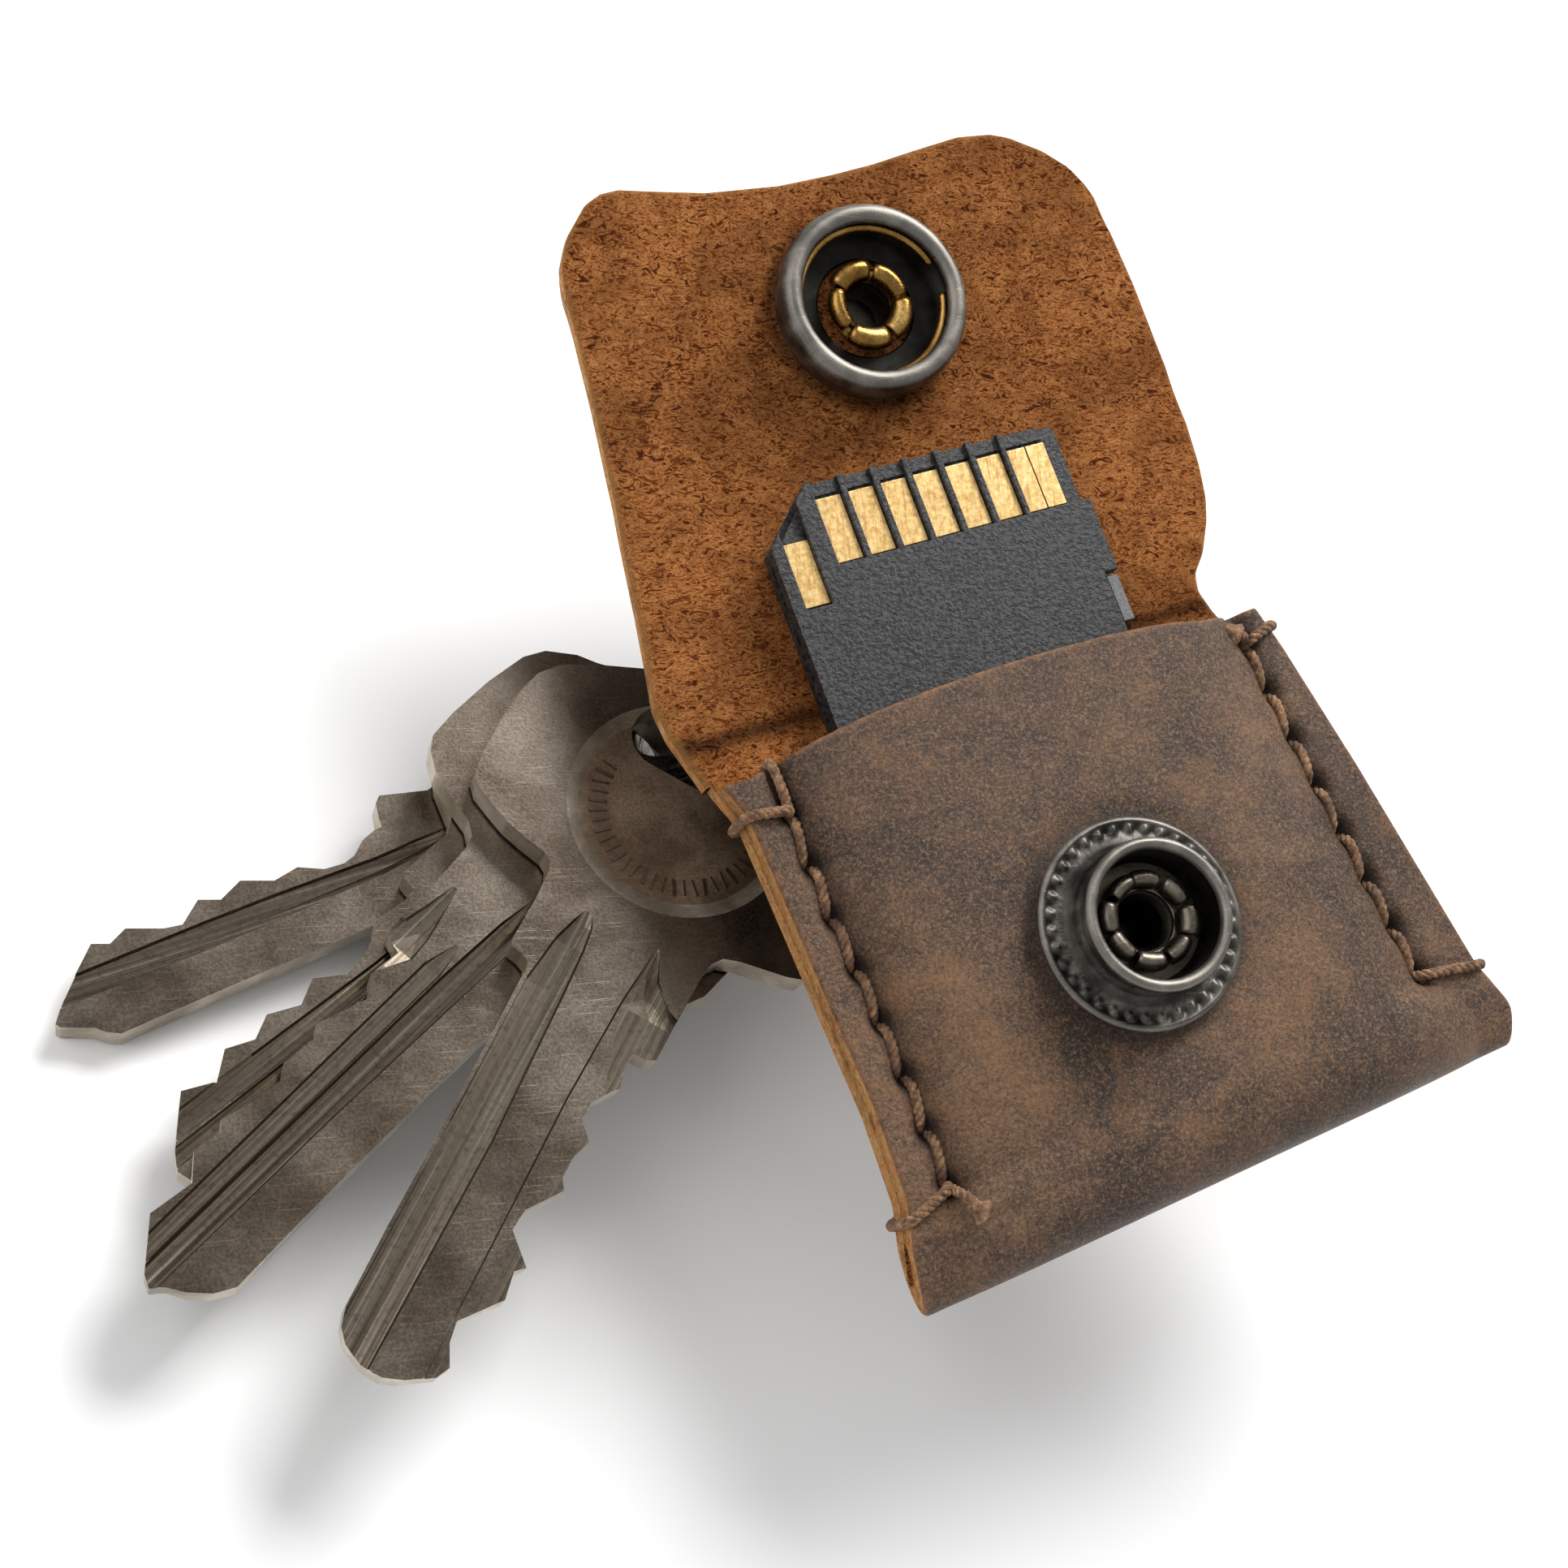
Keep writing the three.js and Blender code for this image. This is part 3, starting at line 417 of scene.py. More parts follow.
def swell(x, y):
    x = np.asarray(x, float); y = np.asarray(y, float)
    w = np.where(x < 0, -SEAM_L(y), SEAM_R(y)) - 0.35
    w = w + np.clip((-13.4 - y) / 4.0, 0, 1) * 5.2
    t = np.clip(np.abs(x) / w, 0, 1)
    g = 1 - t ** 4.6
    h = np.where(y > -3, 1 + (0.84 - 1) * (y + 3) / 20, 1 + (0.8 - 1) * np.clip((-3 - y) / 13, 0, 1))
    return BACK + 2 * TH + BULGE * g * h


def lip_y(x):
    return 15.6 + 1.3 * np.maximum(0, 1 - ((x + 3) / 17) ** 2) ** 0.8 - 0.02 * x


def edge_params(width, inner=60, d=(0.0, 0.07, 0.17, 0.32, 0.55)):
    e = np.array(d) / width
    return np.concatenate([e, np.linspace(e[-1], 1 - e[-1], inner)[1:-1], 1 - e[::-1]])


STITCH_Y = np.linspace(SEAM_Y, -SEAM_Y, 8)


def seam_relief(x, y):
    """valley pressed by the thread, with a pit at every hole; the second result is painted shade that darkens the
    valley and the pits
    """
    z = np.zeros_like(x); dark = np.zeros_like(x)
    for S in (SEAM_L, SEAM_R):
        d = x - S(y); on = np.clip((y + SEAM_Y + 0.8) / 1.2, 0, 1)
        z -= (0.55 + 0.35 * np.clip((y - 12.5) / 2.0, 0, 1)) * np.exp(-(d / 0.8) ** 2) * on; dark += 0.6 * np.exp(-(d / 0.6) ** 2) * on
        for k, yy in enumerate(STITCH_Y):
            q = (x - S(yy)) ** 2 + ((y - yy) * 0.8) ** 2
            z -= 1.0 * np.exp(-q / 0.55 ** 2); dark += 1.6 * np.exp(-q / 0.66 ** 2)
            if k < 7:
                ym = yy - 1.857; q2 = (x - S(ym)) ** 2 / 1.6 ** 2 + ((y - ym) / 1.3) ** 2; z += 0.12 * np.exp(-q2)
    return z, dark


NU = 150
us = edge_params(44.0, NU)
nF, nA, nB = 130, 34, 90
rows_o, rows_i, dist_edge, painted_shade_rows = [], [], [], []
HX = lambda x: 17.9 - 0.0621 * x          # crease line
YEND = lambda x: HX(x) - 2.6              # the pouch piece ends here, the flap's first piece goes on
rim = lambda d, r=0.38: r - np.sqrt(np.maximum(0, r * r - np.clip(r - d, 0, r) ** 2))
lipd = np.concatenate([[0, 0.07, 0.17, 0.32, 0.55], np.linspace(0.55, 1, 2)[1:1]])
for i in range(nF):
    f = i / (nF - 1)
    xg = XL(16) + us * (XR(16) - XL(16)); yl = lip_y(xg)
    if i < 5: y = yl - lipd[i]
    else: y = yl - 0.55 - (yl - 0.55 + 15.2) * (i - 4) / (nF - 5)
    x = XL(y) + us * (XR(y) - XL(y))
    dx = np.minimum(x - XL(y), XR(y) - x); dl = yl - y
    z = swell(x, y); rz, painted_shade = seam_relief(x, y)
    z = z + rz - rim(dx, 0.28) - 0.5 * rim(dl, 0.28) + 0.10 * wob(x, y, 5.0, 3) * np.clip(dx / 3, 0, 1)
    # the leather is pulled in round the snap and swells in soft folds to the bottom corners
    q = np.hypot(x + 0.56, y + 2.5); z -= 0.25 * np.exp(-((q - 7.6) / 1.0) ** 2)
    zi = np.maximum(-2.41 + 0 * x, np.where((np.abs(x) < 17.8) & (y < 18.5), swell(x, np.minimum(y, 17)) - 1.8, -2.41))
    rows_o.append(np.stack([x, y, z], 1)); rows_i.append(np.stack([x, y, zi + 0.0 * x], 1))
    # painted shade: the seam's valley and pits, plus a dark ring in the groove round the snap, go into the 'dark'
    # attribute
    dist_edge.append(np.minimum(dx, dl)); painted_shade_rows.append(np.clip(painted_shade + 0.55 * np.exp(-((q - 7.4) / 0.5) ** 2), 0, 1))
y0 = -15.2
xg = XL(y0) + us * (XR(y0) - XL(y0)); z0 = swell(xg, y0 + 0 * xg); zc = (z0 + BACK) / 2; rzz = (z0 - BACK) / 2
for k in range(1, nA):
    a = math.pi / 2 + math.pi * k / nA
    y = y0 + 4.75 * math.cos(a) + 0 * us; x = XL(y) + us * (XR(y) - XL(y))
    dx = np.minimum(x - XL(y), XR(y) - x)
    z = zc + rzz * math.sin(a); n = np.stack([0 * x, 0 * x + math.cos(a), 0 * x + math.sin(a)], 1)
    rows_o.append(np.stack([x, y, z], 1) - n * (rim(dx)[:, None]) + n * (0.12 * wob(x, a * 4 + 0 * x, 4.0, 5))[:, None])
    zi = -1.1 + 1.34 * np.sign(math.sin(a)) * abs(math.sin(a)) ** 0.8; hx = np.clip((np.abs(x) - 17) / 1.0, 0, 1)
    zi = zi * (1 - hx) + hx * (-2.43 + 0.75 * np.sign(math.sin(a)) * abs(math.sin(a)) ** 0.7 * abs(math.cos(a)) ** 0.35)
    rows_i.append(np.stack([x, y0 + 0.5 - 3.2 * abs(math.cos(a)) ** 0.5 + 0 * x, zi], 1))
    dist_edge.append(dx); painted_shade_rows.append(0 * x)
for i in range(nB):
    f = i / (nB - 1); y = y0 + (YEND(xg) - y0) * f; x = XL(y) + us * (XR(y) - XL(y)); y = y0 + (YEND(x) - y0) * f
    dx = np.minimum(x - XL(y), XR(y) - x)
    rows_o.append(np.stack([x, y, BACK + rim(dx) + 0.06 * wob(x, y, 5.0, 9)], 1)); rows_i.append(np.stack([x, y, -2.45 + 0 * x], 1))
    dist_edge.append(dx); painted_shade_rows.append(0 * x)
O, I = np.array(rows_o), np.array(rows_i); S_, U_ = O.shape[:2]; n0 = S_ * U_
V = np.concatenate([O.reshape(-1, 3), I.reshape(-1, 3)])
Fo, Fi = gridf(S_, U_), gridf(S_, U_, n0); Fe = []
for s in range(S_ - 1):
    for e in (0, U_ - 1):
        a, b = s * U_ + e, (s + 1) * U_ + e; Fe.append((a, b, b + n0, a + n0))
for u in range(U_ - 1):
    Fe.append((u, u + 1, u + 1 + n0, u + n0))
stud_c = np.array([-0.56, -2.5])
ctr = lambda f: V[list(f)].mean(0)
keep = lambda f: not (np.hypot(*(ctr(f)[:2] - stud_c)) < 2.7 and ctr(f)[2] > -0.2)
Fo = [f for f in Fo if keep(f)]; Fi = [f for f in Fi if keep(f)]
de = np.array(dist_edge).ravel(); painted_shade = np.array(painted_shade_rows).ravel()
# the 'dark' attribute carries this painted shade to the leather material
wear = np.concatenate([np.clip(1 - de / 0.55, 0, 1) ** 1.5, 0 * de]); dark = np.concatenate([painted_shade, 0 * painted_shade])
ob = build("pouch_leather", V, Fo + Fi + Fe, [LEATHER, SUEDE, RAW], [0] * len(Fo) + [1] * len(Fi) + [2] * len(Fe), attrs={"wear": wear, "dark": dark}, body="pouch")
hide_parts("pouch_body")

# ------------------------------------------------------------------ flap strip in three pieces; its slope changes past the crease and towards the end
CAX, DAX = np.array([0.99807, -0.0621, 0]), np.array([0.0621, 0.99807, 0])
FL = smooth_table([(-3, -22.2), (0, -23.1), (1.5, -23.5), (3.75, -23.7), (6.05, -23.25), (10.8, -22.43), (18.92, -21.2), (25.84, -20.6), (31.1, -20.3), (36, -20.1)], 5)
FR = smooth_table([(-3, 19.3), (-0.5, 18.1), (1.2, 17.7), (2.62, 18.1), (3.96, 19.4), (6.35, 20.9), (8.2, 21.7), (10.9, 22.4), (14.3, 22.95), (19.3, 23.2), (25.9, 22.75), (30.3, 22.2), (33.8, 21.8), (36, 21.6)], 5)
TOPP = [(-20.3, 33.2), (-20.1, 34.9), (-19.8, 36.2), (-18.85, 38.0), (-16.91, 40.0), (-15.62, 40.55), (-14.3, 40.6), (-12.15, 40.09), (-8.1, 39.2), (-2.6, 38.7), (1.5, 38.75), (5, 38.95), (8.8, 39.4), (12.25, 39.75), (14.9, 39.5), (16.3, 39.0), (18.7, 37.5), (20.4, 35.9), (21.3, 34.3), (21.8, 32.8)]
TOP = lambda p: np.interp(p, [q[0] for q in TOPP], [q[1] for q in TOPP])


def ang(s):
    """slope of the strip along its length, degrees: flat in the pouch, -6 past the crease, up at the end"""
    sm = lambda a, b: (lambda t: t * t * (3 - 2 * t))(np.clip((s - a) / (b - a), 0, 1))
    return -6 * sm(-1.2, 1.2) + 14 * sm(13.7, 21.7)


sg = np.linspace(-4, 42, 1200); sa = np.radians(ang(sg)); ds = sg[1] - sg[0]
qg = np.cumsum(np.cos(sa)) * ds; zg = np.cumsum(np.sin(sa)) * ds
qg -= np.interp(0, sg, qg); zg -= np.interp(0, sg, zg)


def strip_point(p, s, off):
    q, z, a = np.interp(s, sg, qg), np.interp(s, sg, zg), np.radians(np.interp(s, sg, ang(sg)))
    q = q - off * np.sin(a); z = z + off * np.cos(a)
    return H1 + CAX * p[..., None] + DAX * q[..., None] + np.array([0, 0, 1.0]) * z[..., None]


def flap_piece(name, s0, s1, ns, last=False, first=False):
    a_ = edge_params(44.0, 120); rows = []
    bs = np.linspace(0, 1, ns)
    for b in bs:
        if last:
            pt = -20.3 + a_ * (21.8 + 20.3); top = TOP(pt)
            dtop = np.array([0.55, 0.32, 0.17, 0.07, 0.0]); k = int(round((b * (ns - 1)))) - (ns - 5)
            s = s0 + (top - 0.55 - s0) * min(1.0, b * (ns - 1) / (ns - 5)) if k < 0 else top - dtop[k]
        else:
            s = s0 + (s1 - s0) * b + 0 * a_
        sc = np.minimum(s, 33.0); p = FL(sc) + a_ * (FR(sc) - FL(sc))
        if last: w = np.clip((s - 30) / 4, 0, 1); p = p * (1 - w) + w * (pt + 0.0)
        rows.append((p, s, (TOP(pt) - s) if last else 99 + 0 * s))
    Pp = np.array([r[0] for r in rows]); Ss = np.array([r[1] for r in rows]); Dt = np.array([r[2] for r in rows])
    dx = np.minimum(Pp - Pp[:, :1], Pp[:, -1:] - Pp); d = np.minimum(dx, Dt)
    wv = 0.10 * wob(Pp, Ss, 4.0, 21)
    up = strip_point(Pp, Ss, TH / 2 - rim(d, 0.45) + wv * np.clip(d / 2, 0, 1)); lo = strip_point(Pp, Ss, -TH / 2 + rim(d, 0.45) + 0.5 * wv * np.clip(d / 2, 0, 1))
    n, m = Pp.shape; V = np.concatenate([up.reshape(-1, 3), lo.reshape(-1, 3)]); N = n * m
    Fu, Fl, Fe = gridf(n, m), gridf(n, m, N), []
    for i in range(n - 1):
        for e in (0, m - 1):
            Fe.append((i * m + e, (i + 1) * m + e, (i + 1) * m + e + N, i * m + e + N))
    if last:
        for j in range(m - 1): Fe.append(((n - 1) * m + j, (n - 1) * m + j + 1, (n - 1) * m + j + 1 + N, (n - 1) * m + j + N))
        sock = np.array([0.72, 28.36]); P_, S2 = Pp.ravel(), Ss.ravel()
        hole = lambda f: np.hypot(P_[[k % N for k in f]].mean() - sock[0], S2[[k % N for k in f]].mean() - sock[1]) < 2.3
        Fu = [f for f in Fu if not hole(f)]; Fl = [f for f in Fl if not hole(f)]
    # painted shadow: the 'dark' attribute darkens the suede along the crease and in a ring round the socket
    crease = 0.75 * np.exp(-((Ss - 0.2) / 0.7) ** 2) + 0.25 * np.exp(-((Ss - 3.0) / 2.5) ** 2)
    sk = np.hypot(Pp - 0.72, Ss - 28.36); crease = crease + 0.6 * np.exp(-((sk - 7.0) / 0.5) ** 2)
    wear = np.concatenate([np.clip(1 - d.ravel() / 0.5, 0, 1), np.clip(1 - d.ravel() / 0.9, 0, 1)]); dark = np.concatenate([np.clip(crease, 0, 1).ravel(), 0 * Ss.ravel()])
    return build(name, V, Fu + Fl + Fe, [SUEDE, LEATHER, RAW], [0] * len(Fu) + [1] * len(Fl) + [2] * len(Fe), attrs={"wear": wear, "dark": dark})


def sp(s):
    return tuple(P2row(strip_point(np.array(0.0), np.array(float(s)), 0.0)))


f1 = flap_piece("flap_leather_root", -2.6, 3.1, 26); sp(-2.3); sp(2.6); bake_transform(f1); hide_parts("flap_root")
f2 = flap_piece("flap_leather_mid", 3.1, 11.95, 34); sp(3.3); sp(9.1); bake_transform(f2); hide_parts("flap_mid")
f3 = flap_piece("flap_leather_end", 11.95, 41, 110, last=True); sp(13.0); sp(22.4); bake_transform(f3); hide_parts("flap_tip")

# ------------------------------------------------------------------ stitches
def on_seam(S, y, lift):
    x = float(S(y)); return np.array([x, y, float(swell(x, y)) - 0.42 + lift])


for side, S, X in (("left", SEAM_L, XL), ("right", SEAM_R, XR)):
    parts = []
    for k in range(7):
        a, b = STITCH_Y[k], STITCH_Y[k + 1]; tw = RNG.uniform(-0.12, 0.12)
        p = [on_seam(S, a - 0.2, -1.2), on_seam(S, a - 0.5, -0.5), on_seam(S, a - 0.95, 0.0), on_seam(S, (a + b) / 2, 0.16), on_seam(S, b + 0.95, 0.0), on_seam(S, b + 0.5, -0.5), on_seam(S, b + 0.2, -1.2)]
        for q, w_ in zip(p, (0.22, 0.22, 0.16, 0, -0.16, -0.22, -0.22)): q[0] += tw + w_
        parts.append(thread(p, 0.36, 1.6, 3, RNG.uniform(0, 6)))
        # the same stitch on the back panel
        g = lambda y, l: np.array([float(S(y)), y, BACK - l])
        parts.append(thread([g(a, -0.6), g(a - 0.15, 0.0), g((a + b) / 2, 0.28), g(b + 0.15, 0.0), g(b, -0.6)], 0.40, 1.7, 3, RNG.uniform(0, 6)))
    out = -1 if side == "left" else 1
    for y, dy in ((SEAM_Y, 0.9), (-SEAM_Y, -1.6)):
        xs, xe = float(S(y)), float(X(y + dy * 0.5)); zs = float(swell(xs, y)) - 0.35; zt = -0.5
        parts.append(thread([(xs, y, zs - 0.6), (xs + out * 0.25, y + dy * 0.1, zt + 0.2), ((xs + xe) / 2, y + dy * 0.35, zt + 0.3), (xe - out * 0.35, y + dy * 0.6, zt + 0.26), (xe + out * 0.3, y + dy * 0.65, zt - 0.3), (xe + out * 0.36, y + dy * 0.68, -2.4), (xe + out * 0.3, y + dy * 0.65, BACK + 0.3), (xe - out * 0.4, y + dy * 0.6, BACK - 0.36), ((xs + xe) / 2, y + dy * 0.3, BACK - 0.4), (xs, y, BACK - 0.1), (xs, y, BACK + 0.6)], 0.37, 1.5, 3, RNG.uniform(0, 6)))
    if side == "left":
        yl_ = float(lip_y(np.array(-18.1))); parts.append(thread([(-18.3, 12.75, -1.6), (-18.28, 13.3, -0.95), (-18.2, 14.6, -0.78), (-18.15, yl_ - 0.1, -0.95), (-18.15, yl_ + 0.3, -1.5), (-18.15, yl_ + 0.25, -2.3)], 0.36, 1.5, 3, 1.0))
    # melted thread end: a flattened bead where the seam stops
    kp = {"left": (-17.64, -15.1), "right": (17.1, 13.9)}[side]; kx, ky = kp; kz = float(swell(kx, ky))
    st = float(S(-SEAM_Y if side == "left" else SEAM_Y)); sy = -SEAM_Y if side == "left" else SEAM_Y
    parts.append(thread([(st, sy, float(swell(st, sy)) - 0.9), (st * 0.7 + kx * 0.3, sy * 0.6 + ky * 0.4, kz - 0.1), (kx * 0.8 + st * 0.2, ky * 0.8 + sy * 0.2, kz + 0.28), (kx, ky, kz + 0.25)], 0.36, 1.5, 3))
    bead, bf = lathe([(0, 0.62), (0.35, 0.6), (0.62, 0.42), (0.78, 0.15), (0.7, -0.1), (0, -0.15)], 14, False, (kx, ky, kz + 0.05), mod=lambda r, z, a, k: (r * (1 + 0.22 * math.sin(3 * a + 1) + 0.1 * math.sin(5 * a)), z))
    parts.append((bead, bf))
    V, F = join(parts)
    o = build("stitches_" + side, V, F, THREAD, body="pouch", attrs={"dark": np.zeros(len(V)), "wear": np.zeros(len(V))}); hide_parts("seam_thread_" + side)

# ------------------------------------------------------------------ stud
SC = (-0.56, -2.5, 3.0)


def attr0(V, dark=None, wear=None):
    z = np.zeros(len(V)); return {"dark": z if dark is None else dark, "wear": z if wear is None else wear}


prof = rounded([(3.4, 0.25), (6.9, 0.22), (7.15, 0.3), (7.15, 0.62), (6.85, 0.86), (6.55, 0.72), (5.75, 0.66), (5.35, 0.86), (5.0, 1.2), (4.75, 2.0), (4.85, 2.7), (5.08, 3.25), (5.02, 3.65), (4.7, 3.88), (4.35, 3.72), (4.2, 3.3), (4.3, 2.4), (4.3, 1.3), (3.9, 0.7), (3.4, 0.62)], 0.16, 3)
NB = 35
def bead_mod(r, z, a, k):
    c = 0.5 + 0.5 * math.cos(NB * a)
    if 5.5 < r < 6.95 and z > 0.5:
        w = max(0.0, 1 - ((r - 6.3) / 0.36) ** 2); z = z + 0.30 * w * (c ** 1.3) - 0.10 * w
    return r, z
pr2 = [p for p in prof]
# finer radial steps across the beaded band
band = [(6.72, 0.76), (6.62, 0.72), (6.52, 0.69), (6.42, 0.67), (6.32, 0.66), (6.22, 0.66), (6.12, 0.67), (6.02, 0.68), (5.92, 0.7), (5.7, 0.74)]
i0 = next(k for k, p in enumerate(pr2) if p[0] < 6.75 and p[1] > 0.6); i1 = next(k for k, p in enumerate(pr2) if k > i0 and p[0] < 5.6)
pr2 = pr2[:i0] + band + pr2[i1:]
V, F = lathe(pr2, NB * 12, True, SC, bead_mod)
rr = np.hypot(V[:, 0] - SC[0], V[:, 1] - SC[1]); zz = V[:, 2] - SC[2]; an = np.arctan2(V[:, 1] - SC[1], V[:, 0] - SC[0])
# painted shade: darkens the dips between the beads, the inside of the crown and the valley inside the flange
painted_shade = np.clip(1 - np.abs(rr - 6.3) / 0.5, 0, 1) * (zz > 0.4) * (0.9 - 0.9 * (0.5 + 0.5 * np.cos(NB * an))) + ((rr < 4.6) & (zz < 3.4)) * 0.85 + ((rr > 4.9) & (rr < 5.7) & (zz < 1.4)) * 0.6
wr = ((rr > 4.2) & (zz > 3.45)) * 0.35 + (rr > 6.95) * 0.3
o = build("stud_shell", V, F, GUN, body="pouch", attrs=attr0(V, np.clip(painted_shade, 0, 1), wr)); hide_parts("stud")


def crown(name, c, n, r_in, r_tube, r_out, z_base, z_top, mat, frame_fn, body, slot, gap=0.2, seed=3, skip=(), taper=0.448):
    """rolled end of a rivet tube, split into petals that curl outwards"""
    rng = np.random.RandomState(seed); parts = []
    for k in range(n):
        if k in skip: continue
        am = 2 * math.pi * (k + 0.5) / n + rng.uniform(-0.05, 0.05); half = math.pi / n * (1 - gap) * rng.uniform(0.95, 1.0); ro = r_out * rng.uniform(0.92, 1.03); zt = z_top + rng.uniform(-0.12, 0.1)
        path = [(r_tube, z_base), (r_tube + 0.02, (z_base + zt) / 2), (r_tube + 0.12, zt - 0.25), ((r_tube + ro) / 2, zt), (ro - 0.12, zt - 0.16), (ro, zt - 0.55)]
        path = spline(path, 4); m = 9; N = len(path); V = []
        for lay in (0, 1):
            for i, (r, z) in enumerate(path):
                f = i / (N - 1); hw = half * (1.0 - taper * max(0, f - 0.35) / 0.65)
                dr, dz = path[min(i + 1, N - 1)] - path[max(i - 1, 0)]; L = math.hypot(dr, dz); nr, nz = -dz / L, dr / L
                for j in range(m):
                    t = -1 + 2 * j / (m - 1); e = 0.10 * (1 - t * t); off = (0.16 if lay else 0.0) - (0.0 if lay else 0.0) + (e if lay else 0)
                    a = am + hw * t; r2, z2 = r + nr * off, z + nz * off; V.append((r2 * math.cos(a), r2 * math.sin(a), z2))
        F = gridf(N, m) + gridf(N, m, N * m)
        for i in range(N - 1):
            for j in (0, m - 1): F.append((i * m + j, (i + 1) * m + j, (i + 1) * m + j + N * m, i * m + j + N * m))
        for j in range(m - 1):
            for i in (0, N - 1): F.append((i * m + j, i * m + j + 1, i * m + j + 1 + N * m, i * m + j + N * m))
        parts.append((np.array(V), F))
    tb = lathe(rounded([(r_in, z_base - 0.1), (r_tube + 0.05, z_base - 0.1), (r_tube + 0.05, (z_base + z_top) / 2), (r_in, (z_base + z_top) / 2)], 0.05, 2), 48); parts.append(tb)
    V, F = join(parts); V = frame_fn(V)
    return V, F


V, F = crown("stud_crown", SC, 8, 2.05, 2.3, 3.3, 0.2, 2.15, GUND, lambda v: v + np.array(SC), "pouch", "snap_metal", gap=0.09, taper=0.1)
Vb, Fb = lathe(rounded([(1.55, -2.7), (4.15, -2.7), (4.2, -2.5), (2.2, -2.42), (2.2, 0.6), (4.25, 0.66), (4.25, 0.8), (1.95, 0.8), (1.55, 0.3)], 0.06, 2), 64, True, SC)
plug = lathe([(0, -2.62), (2.0, -2.62), (2.0, -2.5), (0, -2.5)], 48, False, SC)
V, F = join([(V, F), (Vb, Fb), plug])
# painted shade: the inside of the post's tube is darkened
o = build("stud_post_crown", V, F, GUND, body="pouch", attrs=attr0(V, ((np.hypot(V[:, 0] - SC[0], V[:, 1] - SC[1]) < 2.02) & (V[:, 2] < SC[2] + 1.3)) * 1.0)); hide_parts("stud_post")

# ------------------------------------------------------------------ socket, ring spring, eyelet and cap, in the flap end's frame
dr8 = lambda d: np.array([DAX[0] * math.cos(math.radians(d)), DAX[1] * math.cos(math.radians(d)), math.sin(math.radians(d))])
H2 = H1 + dr8(-6) * 6.2; H3 = H2 + dr8(-6) * 11.5
ty = dr8(8); tz = np.cross(CAX, ty); SO = H3 + CAX * 0.72 + ty * (28.36 - 17.7) + tz * (TH / 2); TM = np.stack([CAX, ty, tz], 1)
tipf = lambda v: np.asarray(v, float) @ TM.T + SO
V, F = lathe(rounded([(3.6, 0.2), (6.3, 0.18), (6.85, 0.55), (6.98, 1.5), (7.0, 2.3), (6.88, 2.95), (6.5, 3.34), (6.05, 3.42), (5.65, 3.25), (5.42, 2.9), (5.5, 2.6), (6.35, 2.4), (6.4, 1.4), (6.1, 0.95), (5.5, 0.7), (3.6, 0.62)], 0.3, 4), 128)
rr, zz = np.hypot(V[:, 0], V[:, 1]), V[:, 2]
# painted shade: the socket cup's floor and inner wall are darkened; the lighter top rim is wear
o = build("socket_shell", tipf(V), F, GUN, body="flap_tip", attrs=attr0(V, ((rr < 6.3) & (zz < 2.0)) * 0.95 + ((rr < 6.0) & (zz >= 2.0) & (zz < 2.9)) * 0.5, ((zz > 3.1)) * 0.3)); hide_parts("snap_socket")
w = [(5.5 * math.cos(a) * (1 + 0.015 * math.sin(2 * a)), 5.5 * math.sin(a), 1.95 + 0.12 * math.sin(a + 1)) for a in np.linspace(0.32, 2 * math.pi - 0.1, 90)]
w = w + [(5.1 * math.cos(a), 5.1 * math.sin(a), 1.9) for a in ()]
V, F = tube(w, 0.36, 12)
o = build("socket_ring_spring", tipf(V), F, BRASS, body="flap_tip", attrs=attr0(V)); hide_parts("socket_spring")
V, F = crown("eyelet", None, 5, 1.75, 1.95, 3.1, 0.1, 1.85, BRASS, lambda v: v, "flap_tip", "snap_brass", gap=0.04, seed=5, taper=0.09)
Vb, Fb = lathe(rounded([(1.7, -2.2), (2.0, -2.2), (2.0, 0.62), (2.8, 0.66), (2.8, 0.78), (2.0, 0.78), (1.75, 0.4)], 0.05, 2), 64)
V, F = join([(V, F), (Vb, Fb)])
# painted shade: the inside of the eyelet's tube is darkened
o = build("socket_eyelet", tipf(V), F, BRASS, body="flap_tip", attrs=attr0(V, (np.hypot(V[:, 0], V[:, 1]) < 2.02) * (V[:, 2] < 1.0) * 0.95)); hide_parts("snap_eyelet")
V, F = lathe(rounded([(0, -4.62), (2.5, -4.55), (5.0, -4.1), (6.7, -3.35), (7.45, -2.7), (7.45, -2.35), (7.1, -2.2), (6.3, -2.35), (4.8, -3.0), (0, -3.7)], 0.3, 4, False), 96, False)
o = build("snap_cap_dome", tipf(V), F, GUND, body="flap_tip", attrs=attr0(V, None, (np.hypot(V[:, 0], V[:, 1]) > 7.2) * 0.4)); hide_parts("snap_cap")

# ------------------------------------------------------------------ memory card: CAD pieces with softened edges and their own finish
def finish_node(name, mat, bevel=0.1, seg=2):
    o = frame["nodes"][name]
    o.data.materials.clear(); o.data.materials.append(mat)
    if bevel:
        b = o.modifiers.new("edge", "BEVEL"); b.width = bevel / 1000; b.segments = seg; b.limit_method = "ANGLE"; b.angle_limit = math.radians(40); b.harden_normals = False


